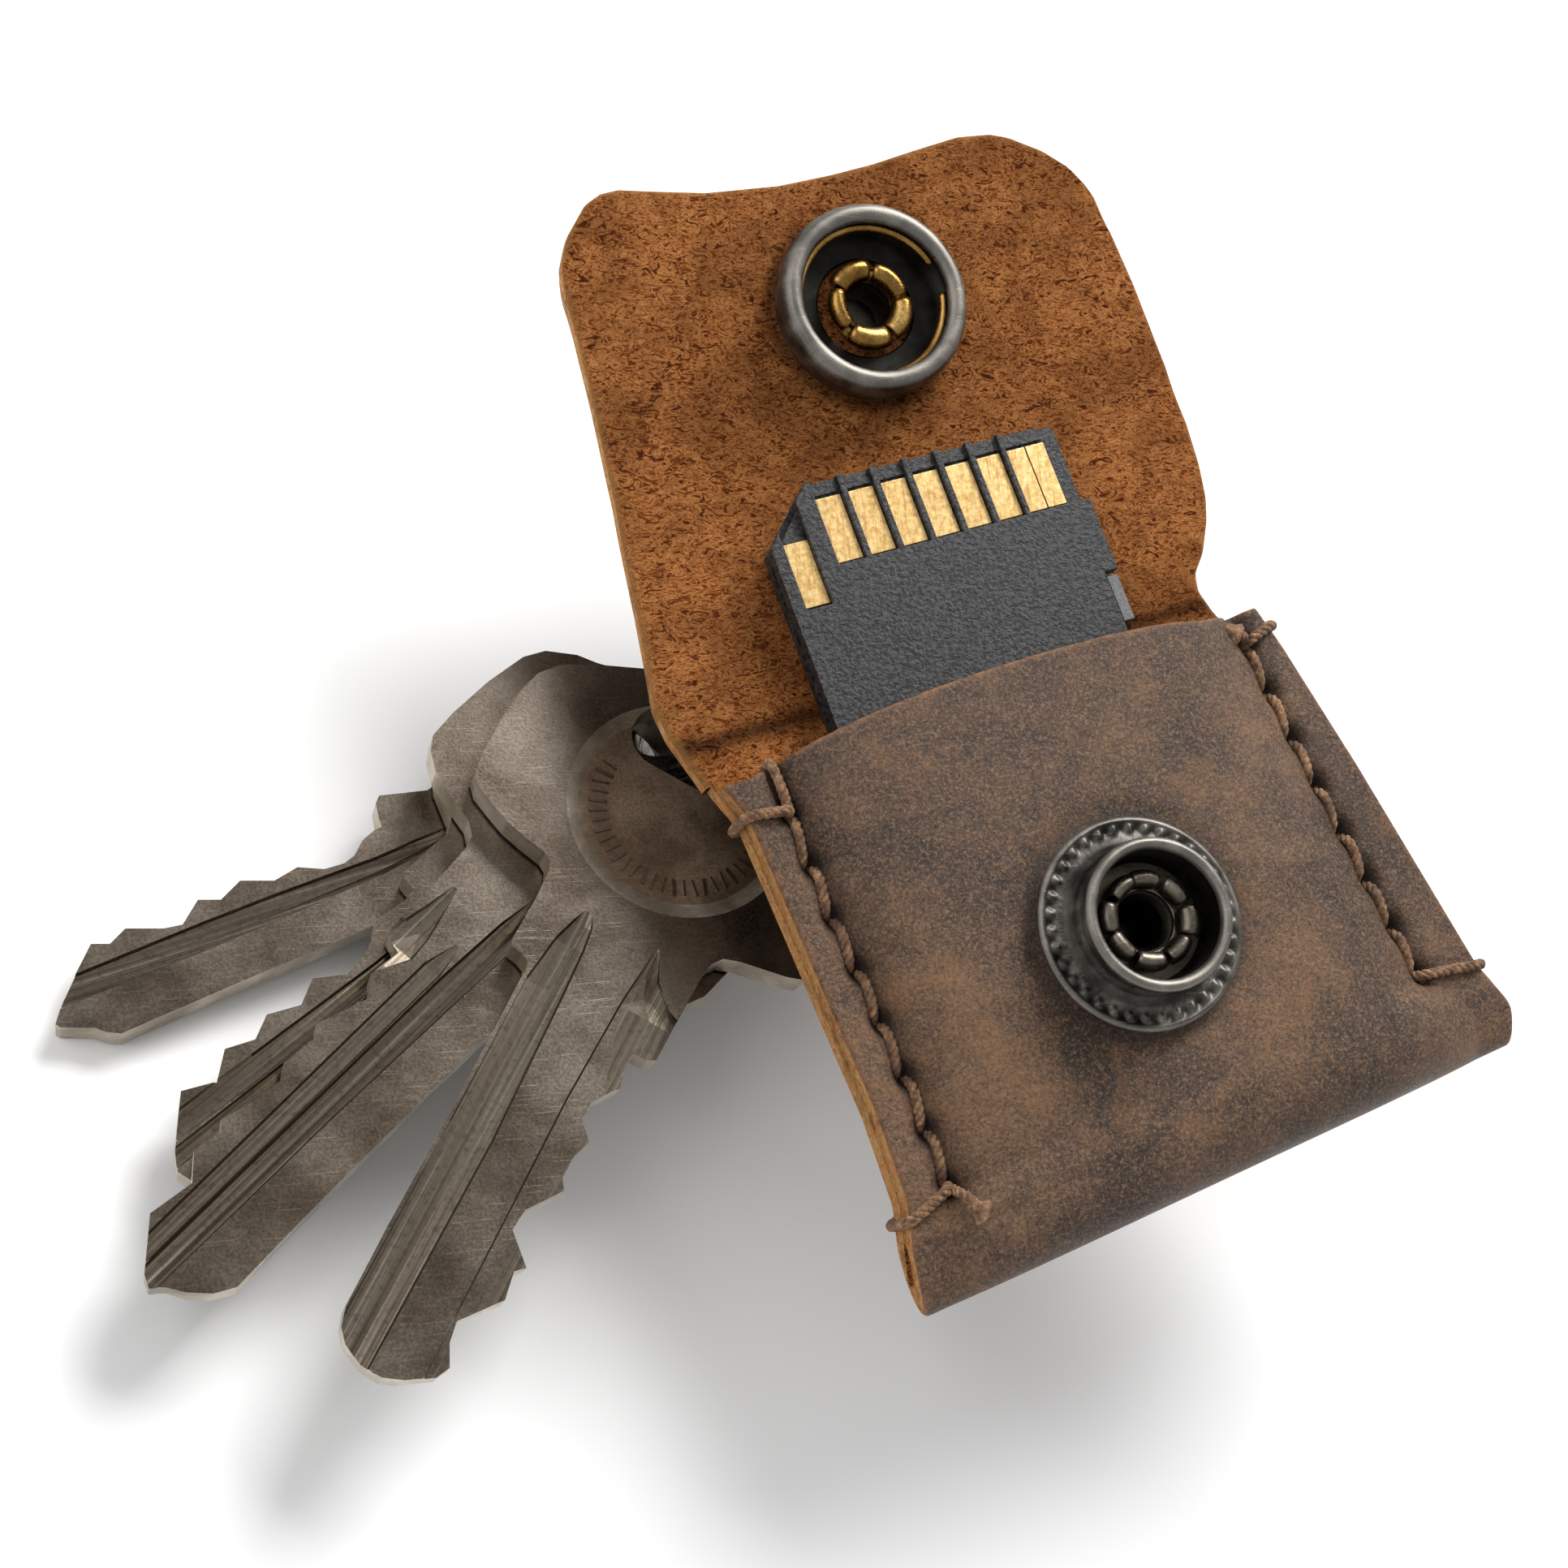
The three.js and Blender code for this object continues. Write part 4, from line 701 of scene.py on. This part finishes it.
def extrude_poly(outer, holes, z0, z1):
    """prism mesh object data through bmesh, holes cut by bridging with triangulate"""
    bm = bmesh.new(); loops = []
    for lp in [outer] + holes:
        vs = [bm.verts.new((x, y, z0)) for x, y in lp]; es = [bm.edges.new((vs[i], vs[(i + 1) % len(vs)])) for i in range(len(vs))]; loops += es
    bmesh.ops.triangle_fill(bm, use_beauty=True, edges=loops)
    fs = bm.faces[:]
    ret = bmesh.ops.extrude_face_region(bm, geom=fs); vs = [g for g in ret["geom"] if isinstance(g, bmesh.types.BMVert)]
    bmesh.ops.translate(bm, verts=vs, vec=(0, 0, z1 - z0)); bmesh.ops.recalc_face_normals(bm, faces=bm.faces[:])
    return bm


CR = math.radians(-3.2)


def card_P(V):
    """card's own plane (x across, y along, from the middle of its top edge) into the pouch frame"""
    V = np.asarray(V, float); c_, s_ = math.cos(CR), math.sin(CR)
    return np.stack([-0.18 + V[:, 0] * c_ - V[:, 1] * s_, 33.59 + V[:, 0] * s_ + V[:, 1] * c_, V[:, 2]], 1)


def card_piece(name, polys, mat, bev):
    parts = []
    for uv, za, zb in polys:
        bm = extrude_poly([(u - 12, -v) for u, v in uv], [], za, zb); bm.verts.index_update()
        parts.append((np.array([v.co[:] for v in bm.verts]), [tuple(v.index for v in f.verts) for f in bm.faces])); bm.free()
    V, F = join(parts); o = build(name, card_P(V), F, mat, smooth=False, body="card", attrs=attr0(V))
    md = o.modifiers.new("edge", "BEVEL"); md.width = bev / 1000; md.segments = 2; md.limit_method = "ANGLE"; md.angle_limit = math.radians(40); return o


comb = [(0, 32), (0, 4), (0.95, 3.05), (0.95, 8.8), (2.85, 8.8), (2.85, 1.15), (4, 0)]
for i in range(6): comb += [(4.32 + 2.5 * i, 0), (4.32 + 2.5 * i, 6.25), (6.34 + 2.5 * i, 6.25), (6.34 + 2.5 * i, 0)]
comb += [(19.25, 0), (19.25, 6.25), (23.9, 6.25), (24, 6.4), (24, 11.8), (22.9, 11.8), (22.9, 19.4), (24, 19.4), (24, 32)]
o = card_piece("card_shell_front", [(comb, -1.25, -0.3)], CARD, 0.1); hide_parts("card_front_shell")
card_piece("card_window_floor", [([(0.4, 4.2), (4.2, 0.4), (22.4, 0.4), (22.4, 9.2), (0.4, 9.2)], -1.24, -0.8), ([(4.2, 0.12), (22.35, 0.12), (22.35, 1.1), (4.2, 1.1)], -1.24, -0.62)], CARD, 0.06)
for nm_, u_, v_, w_, l_ in [("contact_9", 1.15, 3.9, 1.5, 4.7)] + [("contact_%d" % (i + 1), 4.5 + 2.5 * i, 1.3, 1.6, 4.8) for i in range(6)] + [("contact_7", 19.4, 1.3, 1.25, 4.8), ("contact_8", 20.95, 1.3, 1.25, 4.8)]:
    e0, e1 = (0.12, 0.18) if nm_ not in ("contact_7", "contact_8") else (0.08, 0.12)
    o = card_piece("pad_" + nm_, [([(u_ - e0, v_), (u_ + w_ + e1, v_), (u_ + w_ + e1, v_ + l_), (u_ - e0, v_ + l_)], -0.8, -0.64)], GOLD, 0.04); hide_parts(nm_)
finish_node("card_back_shell", CARD, 0.15); finish_node("card_board", BOARD, 0)
finish_node("write_protect_slider", GREY, 0.15)

# ------------------------------------------------------------------ keys (frame K, mm)
def temp_obj(bm, name):
    me = bpy.data.meshes.new(name); bm.to_mesh(me); bm.free(); o = bpy.data.objects.new(name, me); bpy.context.scene.collection.objects.link(o); return o


def apply_mods(o):
    dg = bpy.context.evaluated_depsgraph_get(); me = bpy.data.meshes.new_from_object(o.evaluated_get(dg)); o.modifiers.clear(); old = o.data; o.data = me; bpy.data.meshes.remove(old)


RING_W, uR = np.array([0.6, 16.9]), np.array([0.86, 0.51]) / math.hypot(0.86, 0.51)
tH = np.array([-uR[1], uR[0]])
RC = np.array([*(RING_W + 9.5 * uR), -4.2]); wR = np.array([*(-0.5 * tH), math.sqrt(0.75)]); u3 = np.array([*uR, 0.0])


def crossing(level):
    f = math.asin((level - RC[2]) / (9.5 * math.sqrt(0.75))); return RC - 9.5 * math.cos(f) * u3 + 9.5 * math.sin(f) * wR


KEYS = {
    "a": dict(head=220.4, slot=5.05, e=0.49, off=0.0, mid=0.0,
              plain=[(-9.4, 5.4), (-9.2, 7.2), (-7.5, 10.4), (-6.1, 12.5), (-4.6, 13.6), (-2.8, 14.0), (-0.8, 14.15), (3.0, 14.05), (4.7, 13.8), (5.5, 13.1), (6.2, 11.6), (6.8, 10.2), (7.2, 8.6), (7.5, 6.95), (7.85, 6.4), (8.45, 6.15), (10.4, 6.0), (14.2, 6.05), (14.6, 5.85), (14.75, 5.0), (15.0, 4.45), (15.4, 4.28), (16.4, 4.3), (25.2, 4.1), (34.5, 4.1), (40.1, 3.98), (41.2, 3.6), (41.95, 2.9), (42.6, 1.5), (42.78, 0.6)],
              teeth=[(-9.4, -5.4), (-9.0, -8.0), (-7.4, -10.6), (-5.0, -12.6), (-1.5, -13.4), (3.0, -13.5), (5.6, -13.2), (6.6, -12.7), (7.0, -11.6), (7.7, -8.2), (8.1, -7.1), (8.9, -6.55), (10.5, -6.3), (16.7, -6.15), (17.05, -5.6), (17.1, -4.6), (18.2, -4.5), (19.69, -4.82), (20.2, -4.4), (21.48, -3.58), (22.84, -3.59), (23.88, -4.63), (25.2, -4.15), (26.8, -4.13), (27.47, -4.59), (29.78, -2.94), (31.25, -2.81), (32.91, -4.67), (33.47, -4.08), (35.28, -4.38), (37.79, -2.35), (39.11, -2.56), (40.41, -3.26), (41.3, -2.8), (42.3, -1.2), (42.75, 0.0)],
              grooves=[[(9.9, 2.75, 2.1, 0.04, 0.06, 0.04), (10.8, 3.1, 1.65, 0.3, 0.4, 0.25), (12.5, 3.6, 1.45, 0.42, 0.6, 0.34), (16.0, 4.02, 1.25, 0.48, 0.7, 0.4), (27.0, 3.9, 0.82, 0.48, 0.7, 0.4), (44.5, 3.9, 0.98, 0.48, 0.7, 0.4)],
                       [(9.8, -2.75, -2.95, 0.02, 0.03, 0.04), (11.9, -2.5, -4.0, 0.15, 0.35, 0.3), (13.4, -2.35, -5.5, 0.2, 0.42, 0.4), (14.6, -2.25, -8.5, 0.22, 0.45, 0.7), (22.0, -1.98, -8.5, 0.22, 0.48, 0.75), (44.5, -2.1, -8.5, 0.22, 0.48, 0.75)]]),
    "b": dict(head=205.6, slot=8.6, e=0.0, off=-0.8, mid=0.0,
              plain=[(-12.6, -5.0), (-11.6, -8.2), (-9.8, -10.8), (-7.6, -12.2), (3.2, -12.0), (5.2, -11.2), (6.4, -7.8), (7.6, -6.0), (9.6, -5.7), (14.4, -5.6), (14.8, -4.0), (15.2, -3.35), (15.5, -3.2), (25.9, -3.05), (32.6, -3.0), (38.1, -3.05), (39.3, -2.3), (40.3, -1.1)],
              teeth=[(-12.6, 5.0), (-12.4, 6.6), (-11.6, 8.8), (-10.8, 10.2), (-10.2, 11.6), (-8.7, 13.4), (-7.1, 14.15), (-3.75, 14.5), (0.0, 14.5), (2.3, 14.25), (3.35, 13.5), (4.2, 12.2), (4.8, 10.2), (5.3, 8.1), (6.0, 7.15), (7.1, 6.85), (10.5, 6.6), (14.5, 6.45), (15.18, 6.2), (15.63, 4.91), (18.0, 5.12), (19.26, 4.03), (22.96, 5.19), (23.51, 4.6), (26.2, 4.85), (27.35, 3.88), (31.49, 4.99), (32.0, 4.5), (33.95, 4.76), (35.44, 3.39), (38.42, 3.84), (39.6, 2.8), (41.1, 1.5), (41.5, 0.7), (40.9, 0.0)],
              grooves=[[(6.4, 1.05, 0.6, 0.03, 0.05, 0.03), (9.3, 1.5, -0.45, 0.35, 0.6, 0.4), (15.0, 1.75, -0.25, 0.4, 0.65, 0.4), (26.0, 1.8, 0.1, 0.4, 0.65, 0.4), (44.5, 1.9, 0.35, 0.4, 0.65, 0.4)],
                       [(12.6, 2.6, 2.2, 0.02, 0.04, 0.04), (15.0, 3.2, 1.8, 0.22, 0.36, 0.3), (44.5, 3.1, 1.85, 0.22, 0.36, 0.3)],
                       [(9.6, 5.55, 5.2, 0.02, 0.03, 0.04), (12.0, 5.9, 4.5, 0.2, 0.3, 0.3), (13.6, 6.2, 4.1, 0.3, 0.4, 0.3), (15.4, 9.0, 3.9, 0.45, 0.4, 0.25), (17.0, 9.0, 4.6, 0.3, 0.2, 0.1), (19.0, 9.0, 6.0, 0.1, 0.05, 0.03)]]),
    "c": dict(head=201.0, slot=5.5, e=1.07, off=0.4, mid=0.5,
              plain=[(-10.0, -5.6), (-8.4, -8.9), (-5.9, -11.5), (2.9, -12.4), (5.7, -11.8), (7.8, -9.2), (9.0, -6.3), (10.6, -5.4), (14.4, -5.2), (14.9, -4.1), (15.4, -3.9), (35.6, -3.9), (37.0, -2.8), (38.0, -1.4)],
              teeth=[(-10.0, 5.6), (-8.4, 8.9), (-5.9, 11.5), (2.9, 12.4), (5.7, 11.8), (7.6, 9.4), (8.6, 6.9), (9.6, 6.2), (13.9, 5.9), (14.2, 5.6), (14.3, 4.5), (15.4, 4.3), (17.8, 4.5), (18.6, 3.8), (19.74, 3.2), (21.78, 2.82), (23.67, 4.07), (25.45, 3.15), (27.54, 4.08), (29.18, 3.27), (31.04, 4.03), (32.79, 2.69), (34.85, 3.67), (37.55, 0.95), (38.32, -0.2)],
              grooves=[[(9.0, 1.3, 0.8, 0.03, 0.05, 0.03), (12.0, 2.3, 1.0, 0.3, 0.5, 0.3), (20.0, 2.3, 0.9, 0.35, 0.55, 0.35), (30.0, 2.7, 1.0, 0.35, 0.55, 0.35), (40.5, 3.05, 1.5, 0.35, 0.55, 0.35)],
                       [(13.0, 0.5, 0.2, 0.03, 0.05, 0.03), (16.0, 0.7, -0.6, 0.2, 0.35, 0.25), (40.5, 1.2, 0.0, 0.2, 0.35, 0.25)]]),
    "d": dict(head=180.2, slot=5.88, e=3.5, off=-1.0, mid=1.0,
              plain=[(-10.0, -5.4), (-8.4, -8.2), (-5.9, -10.5), (2.9, -11.2), (5.7, -10.4), (7.8, -7.4), (8.9, -4.4), (10.6, -3.2), (13.2, -2.9), (13.7, -1.6), (14.2, -1.25), (16.3, -1.5), (26.93, -2.45), (35.1, -3.28), (35.9, -2.9), (36.53, -2.35), (38.5, -1.6)],
              teeth=[(-10.0, 5.4), (-8.4, 8.7), (-5.9, 11.0), (2.9, 12.0), (5.7, 11.4), (7.2, 9.6), (8.4, 7.4), (9.9, 6.85), (13.3, 7.5), (13.75, 7.0), (13.95, 5.9), (14.0, 5.2), (14.6, 5.1), (15.64, 4.63), (16.55, 3.75), (17.4, 3.4), (18.88, 3.43), (20.55, 4.14), (22.34, 3.69), (24.5, 4.42), (26.15, 3.51), (27.57, 3.99), (29.08, 2.62), (30.32, 2.76), (32.61, 3.55), (33.85, 2.84), (34.98, 3.23), (36.52, 1.53), (37.7, 0.2), (38.7, -1.3)],
              grooves=[[(8.6, 3.9, 3.3, 0.03, 0.05, 0.03), (12.0, 3.6, 2.4, 0.3, 0.5, 0.3), (15.0, 3.2, 1.8, 0.35, 0.55, 0.3), (22.4, 2.8, 0.95, 0.35, 0.55, 0.3), (27.8, 2.4, 0.4, 0.35, 0.55, 0.3), (40.5, 1.2, -0.6, 0.35, 0.55, 0.3)]]),
}


def cutter(C, A, Lv, st, off, zs, sgn, flip):
    """closed trough following its stations: (a, l from, l to, depth at each side and in the middle)"""
    bm = bmesh.new(); rows = []
    for (aa, la, lb, da, dm, db) in st:
        s1 = 1 if lb > la else -1; w = abs(lb - la); e = min(0.14, 0.3 * w)
        P = [(la, 0.5), (la, 0.0), (la + s1 * e, -da), ((la + lb) / 2 - s1 * w * 0.12, -(da * 0.45 + dm * 0.55)), ((la + lb) / 2 + s1 * w * 0.12, -dm), (lb - s1 * e, -db), (lb, 0.0), (lb, 0.5)]
        row = []
        for l, z in P:
            ll = l * flip + off; p = C + aa * A + ll * Lv; row.append(bm.verts.new((p[0], p[1], zs + sgn * z)))
        rows.append(row)
    n = 8
    for i in range(len(rows) - 1):
        for j in range(n):
            bm.faces.new((rows[i][j], rows[i][(j + 1) % n], rows[i + 1][(j + 1) % n], rows[i + 1][j]))
    bm.faces.new(rows[0]); bm.faces.new(rows[-1]); bmesh.ops.triangulate(bm, faces=bm.faces[:]); bmesh.ops.recalc_face_normals(bm, faces=bm.faces[:])
    return temp_obj(bm, "cut")


for k, (kid, q) in enumerate(KEYS.items()):
    z1 = -2.5 * k; z0 = z1 - 2.2; X = crossing((z0 + z1) / 2)[:2]; h = math.radians(q["head"])
    A = np.array([math.cos(h), math.sin(h)]); Lv = np.array([math.sin(h), -math.cos(h)]); C = X + q["slot"] * A - q["e"] * Lv; off = q["off"]
    outer = [C + a * A + (l + off) * Lv for a, l in q["plain"] + q["teeth"][::-1]]
    hole = []
    r, hl = 2.4, 3.6
    for t in np.linspace(0, math.pi, 14): hole.append(C + (-q["slot"] + r * math.cos(t)) * A + (q["mid"] + hl + r * math.sin(t)) * Lv)
    for t in np.linspace(math.pi, 2 * math.pi, 14): hole.append(C + (-q["slot"] + r * math.cos(t)) * A + (q["mid"] - hl + r * math.sin(t)) * Lv)
    # the bow's corners are rounded, the cuts stay sharp
    key = temp_obj(extrude_poly(outer, [hole], z0, z1), "key_tmp")
    cutters = [cutter(C, A, Lv, st, off, z1, 1, 1) for st in q["grooves"]] + [cutter(C, A, Lv, [(a_, -b_, -c_, d_ * 0.7, e_ * 0.7, f_ * 0.7) for a_, b_, c_, d_, e_, f_ in st[:]], off * 0, z0, -1, 1) for st in q["grooves"][:1]]
    DC = np.array([-1.15, 12.57])
    if kid == "a":
        for zs, sgn in ((z1, 1), (z0, -1)):
            v, f = lathe([(0, -0.28), (7.1, -0.28), (8.35, 0.05), (8.35, 0.5), (0, 0.5)], 96, False)
            bm = bmesh.new(); vs = [bm.verts.new((DC[0] + x, DC[1] + y, zs + sgn * z)) for x, y, z in v]
            for fc in f:
                try: bm.faces.new([vs[i] for i in fc])
                except ValueError: pass
            bmesh.ops.remove_doubles(bm, verts=bm.verts[:], dist=1e-5); bmesh.ops.recalc_face_normals(bm, faces=bm.faces[:]); cutters.append(temp_obj(bm, "cut"))
    for c in cutters:
        md = key.modifiers.new("b", "BOOLEAN"); md.operation = "DIFFERENCE"; md.object = c; md.solver = "EXACT"
    apply_mods(key)
    for c in cutters: bpy.data.objects.remove(c)
    if kid == "a":
        # a ring of plain raised tick marks just inside the round field's edge
        parts = []; rt = np.random.RandomState(4)
        for j in range(50):
            t = math.radians(90 + j * 7.2); r0, r1 = 5.2 + 0.1 * rt.rand(), 6.45 + 0.15 * rt.rand(); d = np.array([math.cos(t), math.sin(t)]); n_ = np.array([-d[1], d[0]]) * (0.07 if j % 3 else 0.14); sk = np.array([-d[1], d[0]]) * (0.25 * (rt.rand() - 0.5))
            b = [DC + d * r0 - n_ - sk, DC + d * r0 + n_ - sk, DC + d * r1 + n_ + sk, DC + d * r1 - n_ + sk]
            vv = [(p[0], p[1], z1 - 0.31) for p in b] + [(p[0] * 0.9 + b[0][0] * 0.05 + b[2][0] * 0.05, p[1] * 0.9 + b[0][1] * 0.05 + b[2][1] * 0.05, z1 - 0.17) for p in b]
            hc = C + (-q["slot"]) * A + q["mid"] * Lv; rl = DC + d * 6.0 - hc
            if max(0.0, abs(rl @ Lv) - 3.6) ** 2 + (rl @ A) ** 2 < 4.6 ** 2: continue
            parts.append((np.array(vv), [(0, 1, 2, 3), (4, 5, 6, 7), (0, 1, 5, 4), (1, 2, 6, 5), (2, 3, 7, 6), (3, 0, 4, 7)]))
        tv, tf = join(parts)
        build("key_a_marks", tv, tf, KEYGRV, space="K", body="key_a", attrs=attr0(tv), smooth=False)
    me = key.data
    co = np.array([v.co for v in me.vertices]); zk = co[:, 2].copy()
    rel = co[:, :2] - C; along = rel @ A; line = rel @ Lv; rowco = P2row(K2P(co))
    # side faces and bevels get material 1, the painted-highlight edge metal; the recessed disc floor of key a gets
    # material 3, the lighter disc metal (painted light)
    midx = []
    for p in me.polygons:
        nz = abs(p.normal.z); cz = zk[list(p.vertices)].mean()
        pc = np.array(p.center[:2]); seg0 = np.array(outer); seg1 = np.roll(seg0, -1, 0); dv = seg1 - seg0
        tt = np.clip(((pc - seg0) * dv).sum(1) / np.maximum((dv * dv).sum(1), 1e-9), 0, 1); inner = np.min(np.hypot(*(pc - seg0 - dv * tt[:, None]).T)) > 0.25 and (pc - C) @ A > 6.5
        face = nz > 0.985 and (abs(cz - z1) < 0.03 or abs(cz - z0) < 0.03 or (kid == "a" and (abs(cz - z1 + 0.28) < 0.02 or abs(cz - z0 - 0.28) < 0.02)))
        midx.append((3 if kid == "a" and abs(cz - z1 + 0.28) < 0.02 and np.hypot(*(pc - DC)) < 7.0 else 0) if face else (1 if (nz < 0.5 and not inner) or (kid == "a" and p.center.xy.to_3d() is not None and 6.9 < math.hypot(p.center.x - DC[0], p.center.y - DC[1]) < 8.4 and 0.9 < nz < 0.985 and np.dot(np.array(p.center[:2]) - C, A) < 9.3) else 2))
    for v, c in zip(me.vertices, rowco): v.co = c
    for m_ in (KEYTOP, KEY_EDGE_HIGHLIGHT, KEYGRV, KEYDISC): me.materials.append(m_)
    me.polygons.foreach_set("material_index", np.array(midx, np.int32)); me.update()
    for nm, val in (("dark", 0 * line), ("wear", 0 * line), ("line", line + 3.7 * k), ("along", along)):
        a_ = me.attributes.new(nm, "FLOAT", "POINT"); a_.data.foreach_set("value", np.asarray(val, np.float32))
    key.name = "key_%s_plate" % kid
    # the bevels take material 1, the painted-highlight edge metal
    bv = key.modifiers.new("edge", "BEVEL"); bv.width = 0.00014; bv.segments = 2; bv.limit_method = "ANGLE"; bv.angle_limit = math.radians(38); bv.material = 1
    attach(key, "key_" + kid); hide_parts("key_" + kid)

# ------------------------------------------------------------------ split ring: two coils of one flat wire
n = 260; V = []; sec = rounded([(-1.0, -0.52), (1.0, -0.52), (1.0, 0.52), (-1.0, 0.52)], 0.3, 4); m = len(sec); w3 = np.array(wR); nrm = np.cross(u3, w3)
for i in range(n):
    f = i / (n - 1); a = 2 * math.pi * 2 * f + 2.2; s_ = np.clip((f - 0.44) / 0.12, 0, 1); s_ = s_ * s_ * (3 - 2 * s_); ax = -0.56 + 1.12 * s_
    d = math.cos(a) * u3 + math.sin(a) * w3
    for (r_, z_) in sec: V.append(RC + d * (9.5 + r_) + nrm * (ax + z_))
F = gridf(n, m, 0, wrapm=True) + [tuple(range(m)), tuple(range((n - 1) * m, n * m))]
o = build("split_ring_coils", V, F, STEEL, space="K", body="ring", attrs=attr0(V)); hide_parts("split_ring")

# ------------------------------------------------------------------ leather loop round the ring, sewn to the back
RTp = K2P(RC + 9.5 * w3); RCp = K2P(RC); uP = KM @ u3; shift = RTp + (RCp - RTp) / np.linalg.norm(RCp - RTp) * 0.3
tab = np.array([uP[1], -uP[0], 0]); tab /= np.linalg.norm(tab); acr = np.cross(tab, [0, 0, 1.0])
zs_ = shift[2]; ctl = [(20.0, -5.45), (12, -5.45), (6, -5.5), (2.6, -5.95), (0.6, zs_ + 3.05), (-1.6, zs_ + 2.55), (-3.0, zs_ + 0.2), (-2.1, zs_ - 2.1), (0.2, zs_ - 3.0), (2.4, zs_ - 1.9), (3.2, zs_ + 0.3), (4.2, -7.25), (6.5, -6.95), (12, -6.9), (18.6, -6.9)]
path = spline(ctl, 8); N = len(path); dd = np.gradient(path, axis=0); dd /= np.linalg.norm(dd, axis=1)[:, None]; nn = np.stack([-dd[:, 1], dd[:, 0]], 1)
wd = np.linspace(-3.5, 3.5, 25); V = []
for sgn in (1, -1):
    for i in range(N):
        for j, wv in enumerate(wd):
            e = rim(3.5 - abs(wv), 0.3); p = path[i] + nn[i] * sgn * (0.66 - e); V.append(np.array([shift[0], shift[1], 0]) + tab * p[0] + acr * wv + np.array([0, 0, p[1]]))
F = gridf(N, 25) + gridf(N, 25, N * 25); mi = [0] * len(F); Fe = []
for i in range(N - 1):
    for j in (0, 24): Fe.append((i * 25 + j, (i + 1) * 25 + j, (i + 1) * 25 + j + N * 25, i * 25 + j + N * 25))
for j in range(24):
    for i in (0, N - 1): Fe.append((i * 25 + j, i * 25 + j + 1, i * 25 + j + 1 + N * 25, i * 25 + j + N * 25))
wv_ = np.tile(np.clip(1 - (3.5 - np.abs(wd)) / 0.7, 0, 1), 2 * N)
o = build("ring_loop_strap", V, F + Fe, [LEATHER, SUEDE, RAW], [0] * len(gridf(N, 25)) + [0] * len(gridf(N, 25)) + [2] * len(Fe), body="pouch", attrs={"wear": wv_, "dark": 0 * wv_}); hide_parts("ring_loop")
parts = []
for s_ in (7.5, 17.6):
    for j in range(3):
        a0, a1 = -2.3 + j * 1.6, -2.3 + j * 1.6 + 1.4; g = lambda w_, z_: np.array([shift[0], shift[1], 0]) + tab * s_ + acr * w_ + np.array([0, 0, z_])
        parts.append(thread([g(a0, -7.2), g(a0 + 0.1, -7.65), g((a0 + a1) / 2, -7.8), g(a1 - 0.1, -7.65), g(a1, -7.2)], 0.33, 1.4, 3))
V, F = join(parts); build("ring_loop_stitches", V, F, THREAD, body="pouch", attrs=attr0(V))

# ------------------------------------------------------------------ floor, light, camera
me = bpy.data.meshes.new("floor"); s = 3.0; me.from_pydata([(-s, -s, 0), (s, -s, 0), (s, s, 0), (-s, s, 0)], [], [(0, 1, 2, 3)]); fl = bpy.data.objects.new("floor", me); bpy.context.scene.collection.objects.link(fl)
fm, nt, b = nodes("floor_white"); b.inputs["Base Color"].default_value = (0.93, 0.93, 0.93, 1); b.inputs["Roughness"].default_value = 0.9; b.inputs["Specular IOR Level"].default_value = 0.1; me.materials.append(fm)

world = bpy.context.scene.world or bpy.data.worlds.new("world"); bpy.context.scene.world = world; world.use_nodes = True
world.node_tree.nodes["Background"].inputs[0].default_value = (1, 1, 1, 1); world.node_tree.nodes["Background"].inputs[1].default_value = 0.5


def area(name, loc, target, size, power, col=(1, 1, 1)):
    l = bpy.data.lights.new(name, "AREA"); l.shape = "RECTANGLE"; l.size = size[0]; l.size_y = size[1]; l.energy = power; l.color = col
    o = bpy.data.objects.new(name, l); bpy.context.scene.collection.objects.link(o); o.location = loc
    o.rotation_euler = (Vector(target) - Vector(loc)).to_track_quat("-Z", "Y").to_euler(); return o


area("key_light", (0.32, 0.42, 0.55), (0, 0, 0.01), (0.40, 0.30), 6.0)
area("fill_light", (-0.5, 0.1, 0.5), (0, 0, 0.01), (0.5, 0.5), 1.5)

CF = 2500.0969681908496
RM = np.array([[0.890949990069255, -0.38718591376632583, 0.23726606031316247], [-0.32464703370409764, -0.9084297502098728, -0.26336228363370084], [0.31750971434386766, 0.1576149013087364, -0.9350642353243506]])
CT = np.array([21.927919630203366, 7.516769244702739, 135.9490034163947])
RP = RM @ R.T                                  # row axes to camera axes
cp = P2row(-RM.T @ CT)
cam = bpy.data.cameras.new("cam"); co_ = bpy.data.objects.new("cam", cam); bpy.context.scene.collection.objects.link(co_)
rot = RP.T @ np.diag([1, -1, -1])
co_.matrix_world = Matrix([[*rot[0], cp[0]], [*rot[1], cp[1]], [*rot[2], cp[2]], [0, 0, 0, 1]])
cam.sensor_width = 36; cam.sensor_fit = "HORIZONTAL"; cam.lens = CF * 36 / 1932; cam.clip_start = 0.005; cam.clip_end = 20
bpy.context.scene.camera = co_
bpy.context.scene.view_settings.view_transform = "Standard"; bpy.context.scene.view_settings.exposure = 0.0

import json
